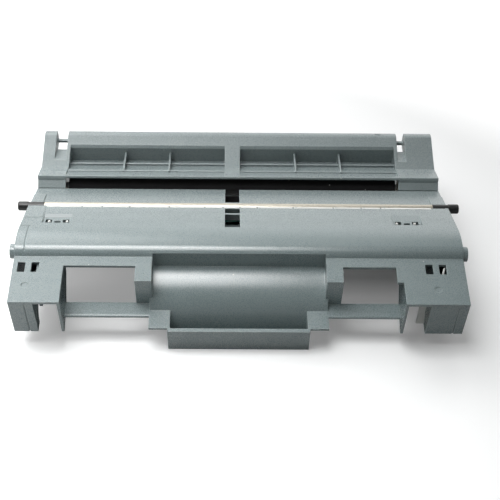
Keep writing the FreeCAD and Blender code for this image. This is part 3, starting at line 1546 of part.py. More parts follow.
def make_paper_path_parts():
    """Brush and its holder before the drum, entry film, and the saw-toothed discharge strip."""
    left = "paper - brush_half"
    right = "paper + brush_half"
    reach = "(brush_front + brush_wide - drum_back)"
    brush_z = f"(drum_z + sqrt((drum_radius + free_gap) ^ 2 - {reach} ^ 2))"
    piece("drum_brush", block("brush", left, right, "brush_front", "brush_front + brush_wide", brush_z,
                              f"{brush_z} + brush_deep"))
    under = "(band_under - {0} * tan(hood_slope))"
    holder = across("holder", left, right, [
        ("brush_front", under.format("brush_front")),
        ("brush_front", f"{brush_z} + brush_deep"),
        ("brush_front + brush_wide", f"{brush_z} + brush_deep"),
        ("brush_front + brush_wide", f"{brush_z} + brush_deep + holder_skin"),
        ("brush_front + holder_skin", f"{brush_z} + brush_deep + holder_skin"),
        ("brush_front + holder_skin", under.format("(brush_front + holder_skin)")),
    ])
    piece("brush_holder", holder)
    film = across("film", left, right, [
        ("film_front", under.format("film_front")),
        ("film_end", under.format("film_end")),
        ("film_end", under.format("film_end") + " - film_skin"),
        ("film_front", under.format("film_front") + " - film_skin"),
    ])
    piece("entry_film", film)


def make_discharge_strip():
    """Metal strip whose points draw the charge off the sheet."""
    knee = size("-recess_knee_drop - recess_skin * 1.15")
    fall = (knee + size("recess_drop + recess_skin")) / size("recess_run - 2")
    back = size("strip_back")
    thick = size("strip_skin")
    top = knee - fall * (back + thick - size("recess_knee"))
    root = top - size("strip_tall") + size("strip_tooth")
    pitch = size("strip_pitch")
    count = int(2 * size("brush_half") / pitch)
    start = size("paper") - count * pitch / 2
    corners = [(start, top), (start, root)]
    for index in range(count):
        corners.append((start + (index + 0.5) * pitch, root - size("strip_tooth")))
        corners.append((start + (index + 1) * pitch, root))
    corners += [(start + count * pitch, top), corners[0]]
    face = Part.Face(Part.makePolygon([FreeCAD.Vector(x, back, z) for x, z in corners]))
    coded("discharge_strip", face.extrude(FreeCAD.Vector(0, thick, 0)))


def make_contacts():
    """Bent metal plates on the left wall that meet the machine's contacts."""
    for name, back, height in contact_places():
        pad = block(name + "_pad", "-half - contact_plate", "-half", back, f"({back}) + contact_pad",
                    f"({height}) - contact_pad / 2", f"({height}) + contact_pad / 2")
        tab = block(name + "_tab", "-half", "-half + wall", back, f"({back}) + contact_plate",
                    f"({height}) - contact_pad / 4", f"({height}) + contact_pad / 4")
        piece(name + "_contact", fuse(name + "_contact_plate", [pad, tab]))


def make_screws():
    """Six equal screws, three from each side."""
    head = size("screw_head_thick")
    long = size("screw_long")
    half = size("half")
    one = bar(half, half + head, size("screw_head")).fuse(bar(half - long, half, size("screw_radius")))
    solids = []
    for name, back, drop in screw_places():
        for turn in (0, 180):
            screw = one.copy()
            screw.rotate(FreeCAD.Vector(), FreeCAD.Vector(0, 0, 1), turn)
            screw.translate(FreeCAD.Vector(0, size(back), -size(drop)))
            solids.append(screw)
    coded("side_screws", Part.makeCompound(solids))


make_main_frame()
make_transfer_cover()
make_drum_cover()
make_pinch_roller()
make_drum()
make_gears()
make_transfer_roller()
make_transfer_springs()
make_charger()
make_grid()
for side, sign in both_sides:
    make_press_arm(side, sign)
make_lock_lever()
make_pins()
make_paper_path_parts()
make_discharge_strip()
make_contacts()
make_screws()
doc.recompute()

faults = [item.Name for item in doc.Objects if {"Invalid", "Error"} & set(item.State)]
for item in pieces:
    if item.Shape.isNull() or not item.Shape.isValid():
        faults.append(item.Label)
if faults:
    raise RuntimeError("Faulty objects: " + ", ".join(faults))

# Tilt the unit to its rest pose and stand it on Z = 0, centred over the origin.
tilt = FreeCAD.Placement(FreeCAD.Vector(), FreeCAD.Rotation(FreeCAD.Vector(1, 0, 0), size("rest_tilt")))
bounds = FreeCAD.BoundBox()
for item in pieces:
    item.Placement = tilt.multiply(item.Placement)
    bounds.add(item.Shape.optimalBoundingBox(False))
shift = FreeCAD.Placement(FreeCAD.Vector(0, -bounds.Center.y, -bounds.ZMin), FreeCAD.Rotation())
for item in pieces:
    item.Placement = shift.multiply(item.Placement)

os.makedirs("parts", exist_ok=True)
for item in pieces:
    item.Shape.exportStep(f"parts/{item.Label}.step")
    print(item.Label, round(item.Shape.Volume), len(item.Shape.Solids), len(item.Shape.Faces))
print("size", [round(value, 2) for value in (bounds.XLength, bounds.YLength, bounds.ZLength)])
print("shift", shift.Base)
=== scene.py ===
# %% [markdown]
# # A printer drum unit on a white table
# The unit comes out of a laser printer. It lies upside down here, on its grip and on the cover of
# its drum, and we look down on it from the grip's side. Its solid parts are ready-made. This
# lesson gives them their finishes, adds the fine parts that only the eye needs, and sets up a
# plain studio around them.

# %% Open the unit
import math

import bmesh
import bpy
from mathutils import Matrix, Vector


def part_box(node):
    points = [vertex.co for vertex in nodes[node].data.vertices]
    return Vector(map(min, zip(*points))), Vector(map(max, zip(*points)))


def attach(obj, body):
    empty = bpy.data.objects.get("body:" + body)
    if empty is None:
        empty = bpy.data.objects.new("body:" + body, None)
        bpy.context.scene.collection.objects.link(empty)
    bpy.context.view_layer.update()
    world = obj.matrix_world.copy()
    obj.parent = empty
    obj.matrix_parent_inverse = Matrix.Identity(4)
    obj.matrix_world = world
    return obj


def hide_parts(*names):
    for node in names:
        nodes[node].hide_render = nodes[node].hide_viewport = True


def in_mm(metres):
    """Metres as rounded millimetres, for printing."""
    return [round(value * 1000, 1) for value in metres]


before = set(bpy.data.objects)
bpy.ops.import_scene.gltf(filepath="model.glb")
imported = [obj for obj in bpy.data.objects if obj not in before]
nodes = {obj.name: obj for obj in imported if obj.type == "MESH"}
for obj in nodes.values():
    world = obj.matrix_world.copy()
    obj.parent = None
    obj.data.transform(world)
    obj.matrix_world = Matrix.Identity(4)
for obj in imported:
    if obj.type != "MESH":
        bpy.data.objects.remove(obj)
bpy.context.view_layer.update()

# %% [markdown]
# ## The unit's own directions
# The maker draws the unit level: X runs across the paper, Y from the grip to the drum and Z up
# from the front plate. On the table the unit leans 15.5 degrees. We could place every fine part in
# the leaning frame, but then each number would need a sum first. One matrix that turns the maker's
# frame into the table's lets us use the maker's own numbers.

# %% From the maker's frame to the table
LEAN = math.radians(15.5)
SHIFT_BACK = -0.100793
SHIFT_UP = 0.046075
to_table = Matrix.Translation((0, SHIFT_BACK, SHIFT_UP)) @ Matrix.Rotation(LEAN, 4, "X")
print("front edge of the plate in mm:", in_mm(to_table @ Vector((0, 0, 0))))

# %% [markdown]
# ## The camera
# The photograph looks down at the unit from its grip's side. A camera could be turned by hand
# until the picture seems right, but distance and lens can be traded against each other: only the
# ratio between the near and the far side tells them apart. So place, angles and lens are those at
# which all the unit's corners fall where they do in the photograph. The middle of the lens isn't
# the middle of the picture, and a small shift of the sensor stands for that.

# %% Place the camera
PICTURE_PIXELS = 500
LENS_MIDDLE = (238, 236)
FOCAL_PIXELS = 1072.5
CAMERA_PLACE = (-0.0079, -0.3999, 0.5677)
PITCH, YAW, ROLL = (math.radians(angle) for angle in (51.23, 0.89, 1.09))

forward = Vector((math.sin(YAW) * math.cos(PITCH), math.cos(YAW) * math.cos(PITCH),
                  -math.sin(PITCH)))
level = Vector((math.cos(YAW), -math.sin(YAW), 0))
upright = level.cross(forward)
right = math.cos(ROLL) * level + math.sin(ROLL) * upright
upward = -math.sin(ROLL) * level + math.cos(ROLL) * upright
turn = Matrix((right, upward, -forward)).transposed().to_4x4()

camera_data = bpy.data.cameras.new("camera")
camera_data.sensor_width = 36
camera_data.lens = FOCAL_PIXELS / PICTURE_PIXELS * camera_data.sensor_width
camera_data.shift_x = (PICTURE_PIXELS / 2 - LENS_MIDDLE[0]) / PICTURE_PIXELS
camera_data.shift_y = (LENS_MIDDLE[1] - PICTURE_PIXELS / 2) / PICTURE_PIXELS
camera_data.clip_start = 0.02
camera = bpy.data.objects.new("camera", camera_data)
bpy.context.scene.collection.objects.link(camera)
camera.matrix_world = to_table @ Matrix.Translation(CAMERA_PLACE) @ turn
bpy.context.scene.camera = camera
print("camera at, in mm:", in_mm(camera.matrix_world.translation))
print("lens in mm:", round(camera_data.lens, 1))

# %% [markdown]
# ## Helpers for shader nodes
# Every finish below is a small graph of nodes. Written out, each node takes a line to make it and
# one for each of its sockets, and the idea gets lost. These helpers keep a graph readable: they
# add a node with its sockets filled, open a node group, do a sum, fade a value between two ends
# and mix two colours.

# %% Node helpers
def add_node(tree, kind, settings=None, **inputs):
    """Add a node. A value that is a socket is linked, any other is set. _2 means socket 2."""
    node = tree.nodes.new(kind)
    for name, value in (settings or {}).items():
        setattr(node, name, value)
    for name, value in inputs.items():
        key = int(name[1:]) if name[0] == "_" else name.replace("_", " ")
        if isinstance(value, bpy.types.NodeSocket):
            tree.links.new(value, node.inputs[key])
        else:
            node.inputs[key].default_value = value
    return node


def new_group(name, inputs, outputs):
    """Open a shader node group. inputs and outputs hold (name, kind, default)."""
    group = bpy.data.node_groups.new(name, "ShaderNodeTree")
    for way, sockets in (("INPUT", inputs), ("OUTPUT", outputs)):
        for title, kind, default in sockets:
            socket = group.interface.new_socket(title, in_out=way,
                                                socket_type="NodeSocket" + kind)
            if default is not None:
                socket.default_value = default
    return group, group.nodes.new("NodeGroupInput"), group.nodes.new("NodeGroupOutput")


def maths(tree, operation, *values, clamp=False):
    """Work out one number from the values."""
    inputs = {f"_{index}": value for index, value in enumerate(values)}
    settings = {"operation": operation, "use_clamp": clamp}
    return add_node(tree, "ShaderNodeMath", settings, **inputs).outputs[0]


def fade(tree, value, low, high, start, stop, kind="LINEAR"):
    """Go from start to stop while the value goes from low to high, held beyond both."""
    settings = {"interpolation_type": kind}
    return add_node(tree, "ShaderNodeMapRange", settings, _0=value, _1=low, _2=high, _3=start,
                    _4=stop).outputs[0]


def mixed(tree, share, first, second):
    """Mix two colours: share 0 gives the first, 1 the second."""
    settings = {"data_type": "RGBA"}
    return add_node(tree, "ShaderNodeMix", settings, _0=share, _6=first, _7=second).outputs[2]


def object_place(tree):
    """The point of the surface in the object's own frame, in metres."""
    return add_node(tree, "ShaderNodeTexCoord").outputs["Object"]


print("node helpers are ready")

# %% [markdown]
# ## Soft edges
# No moulded part has truly sharp edges: each one is rounded by a few tenths of a millimetre, and
# that thin round catches the light as a bright line. Rounding the mesh of such a part would cost
# many faces. The Bevel node bends only the normals near an edge instead, and the angle between
# the bent and the true normal tells other nodes where the edges are.

# %% Group: soft edges
BEVEL_SAMPLES = 6
EDGE_GAIN = 3.5

soft_edges, enter, leave = new_group(
    "soft_edges",
    [("Radius", "Float", 0.0004)],
    [("Normal", "Vector", None), ("Edge", "Float", None)],
)
bent = add_node(soft_edges, "ShaderNodeBevel", {"samples": BEVEL_SAMPLES},
                Radius=enter.outputs["Radius"]).outputs["Normal"]
flat = add_node(soft_edges, "ShaderNodeNewGeometry").outputs["Normal"]
likeness = add_node(soft_edges, "ShaderNodeVectorMath", {"operation": "DOT_PRODUCT"},
                    _0=bent, _1=flat).outputs["Value"]
edge = maths(soft_edges, "MULTIPLY", maths(soft_edges, "SUBTRACT", 1.0, likeness), EDGE_GAIN,
             clamp=True)
soft_edges.links.new(bent, leave.inputs["Normal"])
soft_edges.links.new(edge, leave.inputs["Edge"])
print("group:", soft_edges.name)

# %% [markdown]
# ## Moulded grain
# The skin of the moulding copies the eroded steel of its mould: a fine, even grain that makes
# the plastic satin instead of shiny. The flow of the melt and years of handling add soft clouds
# and streaks, in colour and in gloss. A picture of such a skin would have to be fitted to every
# part. Noises in the object's own frame need no fitting: one of about half a millimetre for the
# grain, one of several centimetres for the clouds, and one stretched along X for the streaks.

# %% Group: moulded grain
CLOUD_SCALE = 28.0
STREAK_STRETCH = (6.0, 90.0, 90.0)
CLOUD_SHARE, STREAK_SHARE = 0.6, 0.4
GRAIN_DULLS = 0.05
GRAIN_DEPTH = 0.0001

grain, enter, leave = new_group(
    "moulded_grain",
    [("Colour", "Color", (0.2, 0.2, 0.2, 1)), ("Clouds", "Float", 0.1), ("Grain", "Float", 0.2),
     ("Grain Size", "Float", 1800.0), ("Roughness", "Float", 0.4), ("Normal", "Vector", None)],
    [("Colour", "Color", None), ("Roughness", "Float", None), ("Normal", "Vector", None)],
)
place = object_place(grain)
fine = add_node(grain, "ShaderNodeTexNoise", Vector=place, Scale=enter.outputs["Grain Size"],
                Detail=2.0, Roughness=0.55).outputs["Fac"]
wide = add_node(grain, "ShaderNodeTexNoise", Vector=place, Scale=CLOUD_SCALE, Detail=3.0,
                Roughness=0.5).outputs["Fac"]
stretched = add_node(grain, "ShaderNodeMapping", Vector=place, Scale=STREAK_STRETCH).outputs[0]
streaks = add_node(grain, "ShaderNodeTexNoise", Vector=stretched, Scale=1.0,
                   Detail=2.0).outputs["Fac"]
cloud = maths(grain, "ADD", maths(grain, "MULTIPLY", wide, CLOUD_SHARE),
              maths(grain, "MULTIPLY", streaks, STREAK_SHARE))
lift = maths(grain, "MULTIPLY", maths(grain, "SUBTRACT", cloud, 0.5), enter.outputs["Clouds"])
gain = maths(grain, "ADD", 1.0, maths(grain, "MULTIPLY", lift, 2.0))
shaded = add_node(grain, "ShaderNodeVectorMath", {"operation": "SCALE"},
                  _0=enter.outputs["Colour"], Scale=gain).outputs[0]
rough = maths(grain, "ADD", enter.outputs["Roughness"],
              maths(grain, "ADD", lift, maths(grain, "MULTIPLY", fine, GRAIN_DULLS)), clamp=True)
bump = add_node(grain, "ShaderNodeBump", Strength=enter.outputs["Grain"], Distance=GRAIN_DEPTH,
                Height=fine, Normal=enter.outputs["Normal"]).outputs[0]
grain.links.new(shaded, leave.inputs["Colour"])
grain.links.new(rough, leave.inputs["Roughness"])
grain.links.new(bump, leave.inputs["Normal"])
print("group:", grain.name)

# %% [markdown]
# ## Dust specks
# The unit has worked in an office, and pale paper dust sits on it in sparse specks. Loose grains
# could be modelled, but at this size nobody would see their shape. A Voronoi texture gives the
# specks as a mask: each of its cells could show one, and only the few cells whose random value is
# high enough do.

# %% Group: dust specks
SPECK_REACH = 0.13
SPECK_SHARE = 0.2

dust, enter, leave = new_group(
    "dust_specks",
    [("Amount", "Float", 0.2), ("Size", "Float", 260.0)],
    [("Mask", "Float", None)],
)
cells = add_node(dust, "ShaderNodeTexVoronoi", Vector=object_place(dust),
                 Scale=enter.outputs["Size"]).outputs
near = maths(dust, "LESS_THAN", cells["Distance"], SPECK_REACH)
chance = add_node(dust, "ShaderNodeSeparateColor", Color=cells["Color"]).outputs[0]
share = maths(dust, "MULTIPLY", enter.outputs["Amount"], SPECK_SHARE)
few = maths(dust, "GREATER_THAN", chance, maths(dust, "SUBTRACT", 1.0, share))
dust.links.new(maths(dust, "MULTIPLY", near, few), leave.inputs["Mask"])
print("group:", dust.name)

# %% [markdown]
# ## A recipe for plastics
# All the unit's plastics are built the same way, so one function makes them and each gets its own
# values. It joins the three groups: the grain lies on top of the soft edges, the edges get a
# painted highlight that mixes a paler colour in along them, and the dust comes last. Where it is
# wanted, the back of the unit is made lighter by a thin even film: partly paper dust, since the
# back lies nearest to the paper's way, and partly painted light from the lamps behind. One
# Principled shader ends the graph, and what is the same all over is set on its own sockets.

# %% Plastic
PLASTIC_IOR = 1.6
# Painted highlight along the edges: the edge colour is the base colour made paler by these.
EDGE_HIGHLIGHT_GAIN, EDGE_HIGHLIGHT_ADD = 2.0, 0.08
SPECK_COVER = 0.5
SPECK_COLOUR = (0.75, 0.75, 0.72, 1)
# Lighter towards the back: partly a film of paper dust, partly painted light from the lamps
# behind.
BACK_DUST_AND_LIGHT_COLOUR = (0.80, 0.82, 0.82, 1)
BACK_DUST_AND_LIGHT_START, BACK_DUST_AND_LIGHT_FULL = -0.040, 0.010


def plastic(name, colour, roughness, clouds=0.08, grain_bump=0.15, grain_size=1800.0,
            edge_highlight=0.35, dust_amount=0.15, radius=0.0004, coat=0.0, film=0.0, gloss=0.5):
    """Moulded plastic with painted edge highlights, grain, dust specks and, at the back, a film
    that is partly dust and partly painted light.
    """
    material = bpy.data.materials.new(name)
    material.use_nodes = True
    tree = material.node_tree
    shader = tree.nodes["Principled BSDF"]
    edges = add_node(tree, "ShaderNodeGroup", {"node_tree": soft_edges}, Radius=radius).outputs
    skin = add_node(tree, "ShaderNodeGroup", {"node_tree": grain}, Colour=(*colour, 1),
                    Clouds=clouds, Grain=grain_bump, Grain_Size=grain_size, Roughness=roughness,
                    Normal=edges["Normal"]).outputs
    specks = add_node(tree, "ShaderNodeGroup", {"node_tree": dust}, Amount=dust_amount).outputs
    # Painted highlight: a paler copy of the colour is mixed in along the edges.
    pale = (*(min(1, value * EDGE_HIGHLIGHT_GAIN + EDGE_HIGHLIGHT_ADD) for value in colour), 1)
    edge_highlighted = mixed(tree, maths(tree, "MULTIPLY", edges["Edge"], edge_highlight), skin["Colour"], pale)
    surface = mixed(tree, maths(tree, "MULTIPLY", specks["Mask"], SPECK_COVER), edge_highlighted,
                    SPECK_COLOUR)
    # Lighter towards the back: partly paper dust, partly painted light from behind.
    if film:
        back = add_node(tree, "ShaderNodeSeparateXYZ", Vector=object_place(tree)).outputs["Y"]
        cover = fade(tree, back, BACK_DUST_AND_LIGHT_START, BACK_DUST_AND_LIGHT_FULL, 0.0, film, "SMOOTHSTEP")
        surface = mixed(tree, cover, surface, BACK_DUST_AND_LIGHT_COLOUR)
    tree.links.new(surface, shader.inputs["Base Color"])
    tree.links.new(skin["Roughness"], shader.inputs["Roughness"])
    tree.links.new(skin["Normal"], shader.inputs["Normal"])
    shader.inputs["IOR"].default_value = PLASTIC_IOR
    shader.inputs["Specular IOR Level"].default_value = gloss
    shader.inputs["Coat Weight"].default_value = coat
    return material


print("the recipe for plastics is ready")

# %% [markdown]
# ## The unit's plastics
# Frame and covers are one grey, slightly green ABS, satin on its broad faces, with a painted
# highlight on every edge. Sliding and snapping parts are black or cream acetal, and the gears are
# cream too.
# The drum wears a smooth green coat under a clear one. Foam and brush hair aren't moulded, but
# the same recipe with a rough skin and a strong grain gives their broken black surface.

# %% Plastics
grey_abs = plastic("grey_abs", (0.190, 0.236, 0.240), 0.25, clouds=0.03, edge_highlight=0.8,
                   radius=0.0007, dust_amount=0.04, film=0.07, gloss=0.7)
black_acetal = plastic("black_acetal", (0.012, 0.013, 0.013), 0.33, clouds=0.15, edge_highlight=0.2)
cream_acetal = plastic("cream_acetal", (0.68, 0.63, 0.50), 0.35, clouds=0.05)
black_film = plastic("black_film", (0.012, 0.012, 0.012), 0.22, clouds=0.05, grain_bump=0.02)
foam_black = plastic("foam_black", (0.010, 0.010, 0.011), 0.9, clouds=0.3, grain_bump=1.0,
                     grain_size=900.0, dust_amount=0.5)
pile_black = plastic("pile_black", (0.018, 0.018, 0.020), 0.95, clouds=0.4, grain_bump=1.0,
                     grain_size=2600.0)
drum_green = plastic("drum_green", (0.02, 0.16, 0.13), 0.12, clouds=0.02, grain_bump=0.0,
                     dust_amount=0.0, coat=0.6)
print("plastics:", len(bpy.data.materials))

# %% [markdown]
# ## Metals
# Steel pins and shafts are turned, so their roughness runs in fine rings round the axis. All the
# unit's shafts lie along X, so one noise that is squeezed along X gives the rings of all of them.
# The thin roller in the hood is ground steel with a pale wear coat: almost white, slightly warm,
# and speckled by paper dust that its turning has pressed on.

# %% Metals
RING_STRETCH = (2400.0, 60.0, 60.0)
RING_DEPTH, RING_STRENGTH = 0.00002, 0.1
METAL_EDGE = 0.0002
SPECKLE_SCALE = 420.0
SPECKLE_START = 0.60
SPECKLE_COLOUR = (0.42, 0.38, 0.30, 1)


def metal(name, colour, roughness, rings=0.12, speckle=0.0, metallic=1.0):
    """Metal with turning rings along X and, if wanted, pressed-on dust."""
    material = bpy.data.materials.new(name)
    material.use_nodes = True
    tree = material.node_tree
    shader = tree.nodes["Principled BSDF"]
    place = object_place(tree)
    squeezed = add_node(tree, "ShaderNodeMapping", Vector=place, Scale=RING_STRETCH).outputs[0]
    ring = add_node(tree, "ShaderNodeTexNoise", Vector=squeezed, Scale=1.0,
                    Detail=2.0).outputs["Fac"]
    uneven = maths(tree, "MULTIPLY", maths(tree, "SUBTRACT", ring, 0.5), rings * 2)
    spots = add_node(tree, "ShaderNodeTexNoise", Vector=place, Scale=SPECKLE_SCALE, Detail=4.0,
                     Roughness=0.7).outputs["Fac"]
    mask = maths(tree, "MULTIPLY", maths(tree, "GREATER_THAN", spots, SPECKLE_START), speckle)
    edges = add_node(tree, "ShaderNodeGroup", {"node_tree": soft_edges}, Radius=METAL_EDGE)
    bump = add_node(tree, "ShaderNodeBump", Strength=RING_STRENGTH, Distance=RING_DEPTH,
                    Height=ring, Normal=edges.outputs["Normal"]).outputs[0]
    tree.links.new(mixed(tree, mask, (*colour, 1), SPECKLE_COLOUR), shader.inputs["Base Color"])
    tree.links.new(maths(tree, "ADD", roughness, uneven, clamp=True), shader.inputs["Roughness"])
    tree.links.new(bump, shader.inputs["Normal"])
    shader.inputs["Metallic"].default_value = metallic
    return material


turned_steel = metal("turned_steel", (0.58, 0.58, 0.57), 0.28)
spring_wire = metal("spring_wire", (0.62, 0.62, 0.60), 0.25, rings=0.05)
sheet_steel = metal("sheet_steel", (0.66, 0.66, 0.65), 0.3, rings=0.08)
gold_plate = metal("gold_plate", (0.78, 0.58, 0.26), 0.25)
coated_roller = metal("coated_roller", (0.62, 0.58, 0.49), 0.22, speckle=0.45, metallic=0.3)
print("plastics and metals:", len(bpy.data.materials))

# %% [markdown]
# ## Dress the parts
# The solid parts have the right shapes already: gears with their teeth, springs with their turns
# and the frame with its ribs. Modelling them again would gain nothing, so each keeps its mesh
# and gets its finish in its material slot. One table says which finish goes where.

# %% Finish of every solid part
finishes = {
    grey_abs: ["main_frame", "transfer_cover", "drum_cover"],
    black_acetal: ["pinch_cap_left", "pinch_cap_right", "charger_end_left", "charger_end_right",
                   "brush_holder", "wire_cleaner", "lock_lever"],
    cream_acetal: ["press_arm_left", "press_arm_right", "transfer_bush_left",
                   "transfer_bush_right", "drum_gear", "drum_flange", "transfer_gear"],
    coated_roller: ["pinch_shaft"],
    turned_steel: ["drum_shaft", "transfer_shaft", "press_pin_left", "press_pin_right",
                   "lock_pin", "side_screws"],
    spring_wire: ["transfer_spring_left", "transfer_spring_right", "press_spring_left",
                  "press_spring_right", "lock_spring", "charge_wire"],
    sheet_steel: ["charger_case", "charger_grid", "discharge_strip"],
    drum_green: ["drum_tube"],
    foam_black: ["transfer_foam"],
    pile_black: ["drum_brush"],
    black_film: ["entry_film"],
    gold_plate: ["drum_contact", "charger_contact", "transfer_contact"],
}
for material, names in finishes.items():
    for name in names:
        nodes[name].data.materials.clear()
        nodes[name].data.materials.append(material)
dressed = {name for names in finishes.values() for name in names}
print("parts without a finish:", sorted(set(nodes) - dressed))

# %% [markdown]
# ## Helpers for fine parts
# The small parts below are modelled here. Each starts as a bmesh in the maker's millimetres: a
# round bar or a thin block from an operator, with its edges bevelled. Blender's ready cubes and
# cylinders would have knife-sharp edges and would have to be moved as objects. The last helper
# scales the mesh itself to metres, lays it on the table with the rest, and lets it ride on a body.

# %% Helpers for fine parts
BAR_SIDES = 20
BLOCK_BEVEL = 0.3


def add_bar(mesh, start, along, radius, long, bevel):
    """Round bar from start along a direction, with both rims bevelled."""
    turn = Vector(along).to_track_quat("Z", "Y").to_matrix().to_4x4()
    centre = Vector(start) + Vector(along).normalized() * long / 2
    made = bmesh.ops.create_cone(mesh, cap_ends=True, segments=BAR_SIDES, radius1=radius,
                                 radius2=radius, depth=long,
                                 matrix=Matrix.Translation(centre) @ turn)
    rims = {edge for vert in made["verts"] for edge in vert.link_edges
            if any(len(face.verts) > 4 for face in edge.link_faces)}
    bmesh.ops.bevel(mesh, geom=list(rims), offset=bevel, segments=2, profile=0.5,
                    affect="EDGES", material=-1)


def add_block(mesh, low, high, lean=0.0, swing=0.0):
    """Thin block between two corners, leaned about X and swung about Z at its middle."""
    low, high = Vector(low), Vector(high)
    made = bmesh.ops.create_cube(mesh, size=1)["verts"]
    bmesh.ops.scale(mesh, vec=high - low, verts=made)
    turn = Matrix.Rotation(swing, 4, "Z") @ Matrix.Rotation(lean, 4, "X")
    bmesh.ops.transform(mesh, matrix=Matrix.Translation((low + high) / 2) @ turn, verts=made)
    edges = {edge for vert in made for edge in vert.link_edges}
    bmesh.ops.bevel(mesh, geom=list(edges), offset=min(high - low) * BLOCK_BEVEL, segments=1,
                    profile=0.5, affect="EDGES", material=-1)


def new_piece(name, mesh, material, body):
    """Turn a bmesh in the maker's millimetres into a piece of the scene."""
    bmesh.ops.scale(mesh, vec=(0.001, 0.001, 0.001), verts=mesh.verts)
    bmesh.ops.transform(mesh, matrix=to_table, verts=mesh.verts)
    bmesh.ops.recalc_face_normals(mesh, faces=mesh.faces)
    data = bpy.data.meshes.new(name)
    mesh.to_mesh(data)
    mesh.free()
    piece = bpy.data.objects.new(name, data)
    bpy.context.scene.collection.objects.link(piece)
    data.materials.append(material)
    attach(piece, body)
    return piece


print("helpers for fine parts are ready")

# %% [markdown]
# ## Contact fields
# The hood has two sunk fields for the machine's contacts. In each, two pale pegs stand in square
# holes. They could be painted as bright dots, but pegs catch the light and keep their place when
# we look from the side, so they are short round bars with a bevelled tip. On the slope behind the
# left holes lies a thin pale strip: a painted highlight where that slope catches the light from
# the left.

# %% Pegs and painted highlight strip
PEG_PLACES = {"left": (-131.6, -119.2), "right": (109.7, 122.0)}
PEG_BACK, PEG_FOOT = 73.4, -11.49
PEG_RADIUS, PEG_LONG, PEG_BEVEL = 0.95, 5.0, 0.3
HIGHLIGHT_STRIP_LOW, HIGHLIGHT_STRIP_HIGH = (-135.7, 78.0, -9.82), (-116.3, 83.4, -9.52)
FIELD_SLOPE = math.radians(19.4)

white_acetal = plastic("white_acetal", (0.72, 0.73, 0.70), 0.3, clouds=0.04, dust_amount=0.05)
# A pale grey for the painted highlight strip below.
highlight_grey = plastic("highlight_grey", (0.30, 0.335, 0.34), 0.3, clouds=0.03, grain_bump=0.05,
                    dust_amount=0.0)
for side, places in PEG_PLACES.items():
    pegs = bmesh.new()
    for across in places:
        add_bar(pegs, (across, PEG_BACK, PEG_FOOT), (0, 0, 1), PEG_RADIUS, PEG_LONG, PEG_BEVEL)
    new_piece("contact_pegs_" + side, pegs, white_acetal, "frame")
highlight_strip = bmesh.new()
# Painted highlight: a thin pale block on the slope of the left field.
add_block(highlight_strip, HIGHLIGHT_STRIP_LOW, HIGHLIGHT_STRIP_HIGH, lean=-FIELD_SLOPE)
new_piece("painted_highlight_strip", highlight_strip, highlight_grey, "frame")
print("pegs:", sum(len(places) for places in PEG_PLACES.values()))

# %% [markdown]
# ## Guide strip that stands for a highlight
# A narrow white strip runs along the hood's rear edge, just before the pale roller. Its white
# stands in for the bright line along the roller's front: a painted highlight. Twelve gaps in it
# copy the nicks in that line. One long block with twelve cuts would do, but blocks laid end to end
# give the gaps without a cut. The strip is one piece made of thirteen flat blocks that lie on the
# hood's slope.

# %% Strip with gaps
HOOD_SLOPE = math.radians(27)
STRIP_ENDS = (-139.0, 137.4)
STRIP_GAPS = (-111.6, -97.4, -77.8, -49.5, -24.3, -11.3, 0.8, 13.2, 38.8, 67.4, 87.4, 101.3)
GAP_WIDE, STRIP_WIDE, STRIP_THICK = 0.9, 2.4, 0.3
STRIP_BACK, STRIP_UP = 95.3, -16.46

starts = [STRIP_ENDS[0]] + [gap + GAP_WIDE / 2 for gap in STRIP_GAPS]
stops = [gap - GAP_WIDE / 2 for gap in STRIP_GAPS] + [STRIP_ENDS[1]]
strip = bmesh.new()
for start, stop in zip(starts, stops):
    add_block(strip, (start, STRIP_BACK - STRIP_WIDE / 2, STRIP_UP - STRIP_THICK / 2),
              (stop, STRIP_BACK + STRIP_WIDE / 2, STRIP_UP + STRIP_THICK / 2), lean=-HOOD_SLOPE)
# Painted highlight: the white strip stands for the bright line along the roller.
new_piece("guide_strip_highlight", strip, white_acetal, "frame")
print("blocks of the strip:", len(starts))

# %% [markdown]
# ## Behind the plate
# Through the plate's holes and beside the right foot, small inner parts show: the pale tip of a
# lever in the right hole and a pale release tab that hangs from the plate beside the right foot. A
# black block under the left hole is painted shade: it keeps that hole dark. Only their outer faces
# can be seen, so plain thin blocks with bevelled edges are enough. Each block's top reaches the
# plate that carries it.

# %% Shade block, lever tip and release tab
INNER_PARTS = {
    # Painted shade: a black block that darkens the left hole.
    "hole_shade_block": (black_acetal, "black_plastic", 0,
                    [((-139.6, 21.0, -9.0), (-130.4, 37.0, -8.0)),
                     ((-139.6, 35.6, -8.6), (-130.4, 37.0, -1.9))]),
    "lever_tip": (white_acetal, "pale_plastic", -18,
                  [((135.1, 23.2, -9.0), (136.3, 31.6, -1.7))]),
    "release_tab": (white_acetal, "pale_plastic", 0,
                    [((120.6, 11.0, -38.4), (128.3, 12.6, -1.9))]),
}
for name, (material, slot, swing, blocks) in INNER_PARTS.items():
    part = bmesh.new()
    for low, high in blocks:
        add_block(part, low, high, swing=math.radians(swing))
    new_piece(name, part, material, "frame")
print("parts behind the plate:", list(INNER_PARTS))

# %% [markdown]
# ## A screw
# A solid can show the plain head of a screw, but a real head has a cross recess. Cutting it out
# with a boolean would leave long thin faces. Here the head starts as a grid of five by five
# faces: the cross in its middle is pushed in, the rim is drawn to a circle, and the wall and the
# shank are extruded from it. All faces stay clean, and the rim can be bevelled.

# %% Screw with a cross recess
HEAD_RADIUS, HEAD_THICK, HEAD_ROUND = 2.8, 1.8, 0.6
SHANK_RADIUS, SHANK_LONG = 1.4, 9.0
RECESS_WIDE, RECESS_LONG, RECESS_DEEP = 0.45, 1.6, 1.0


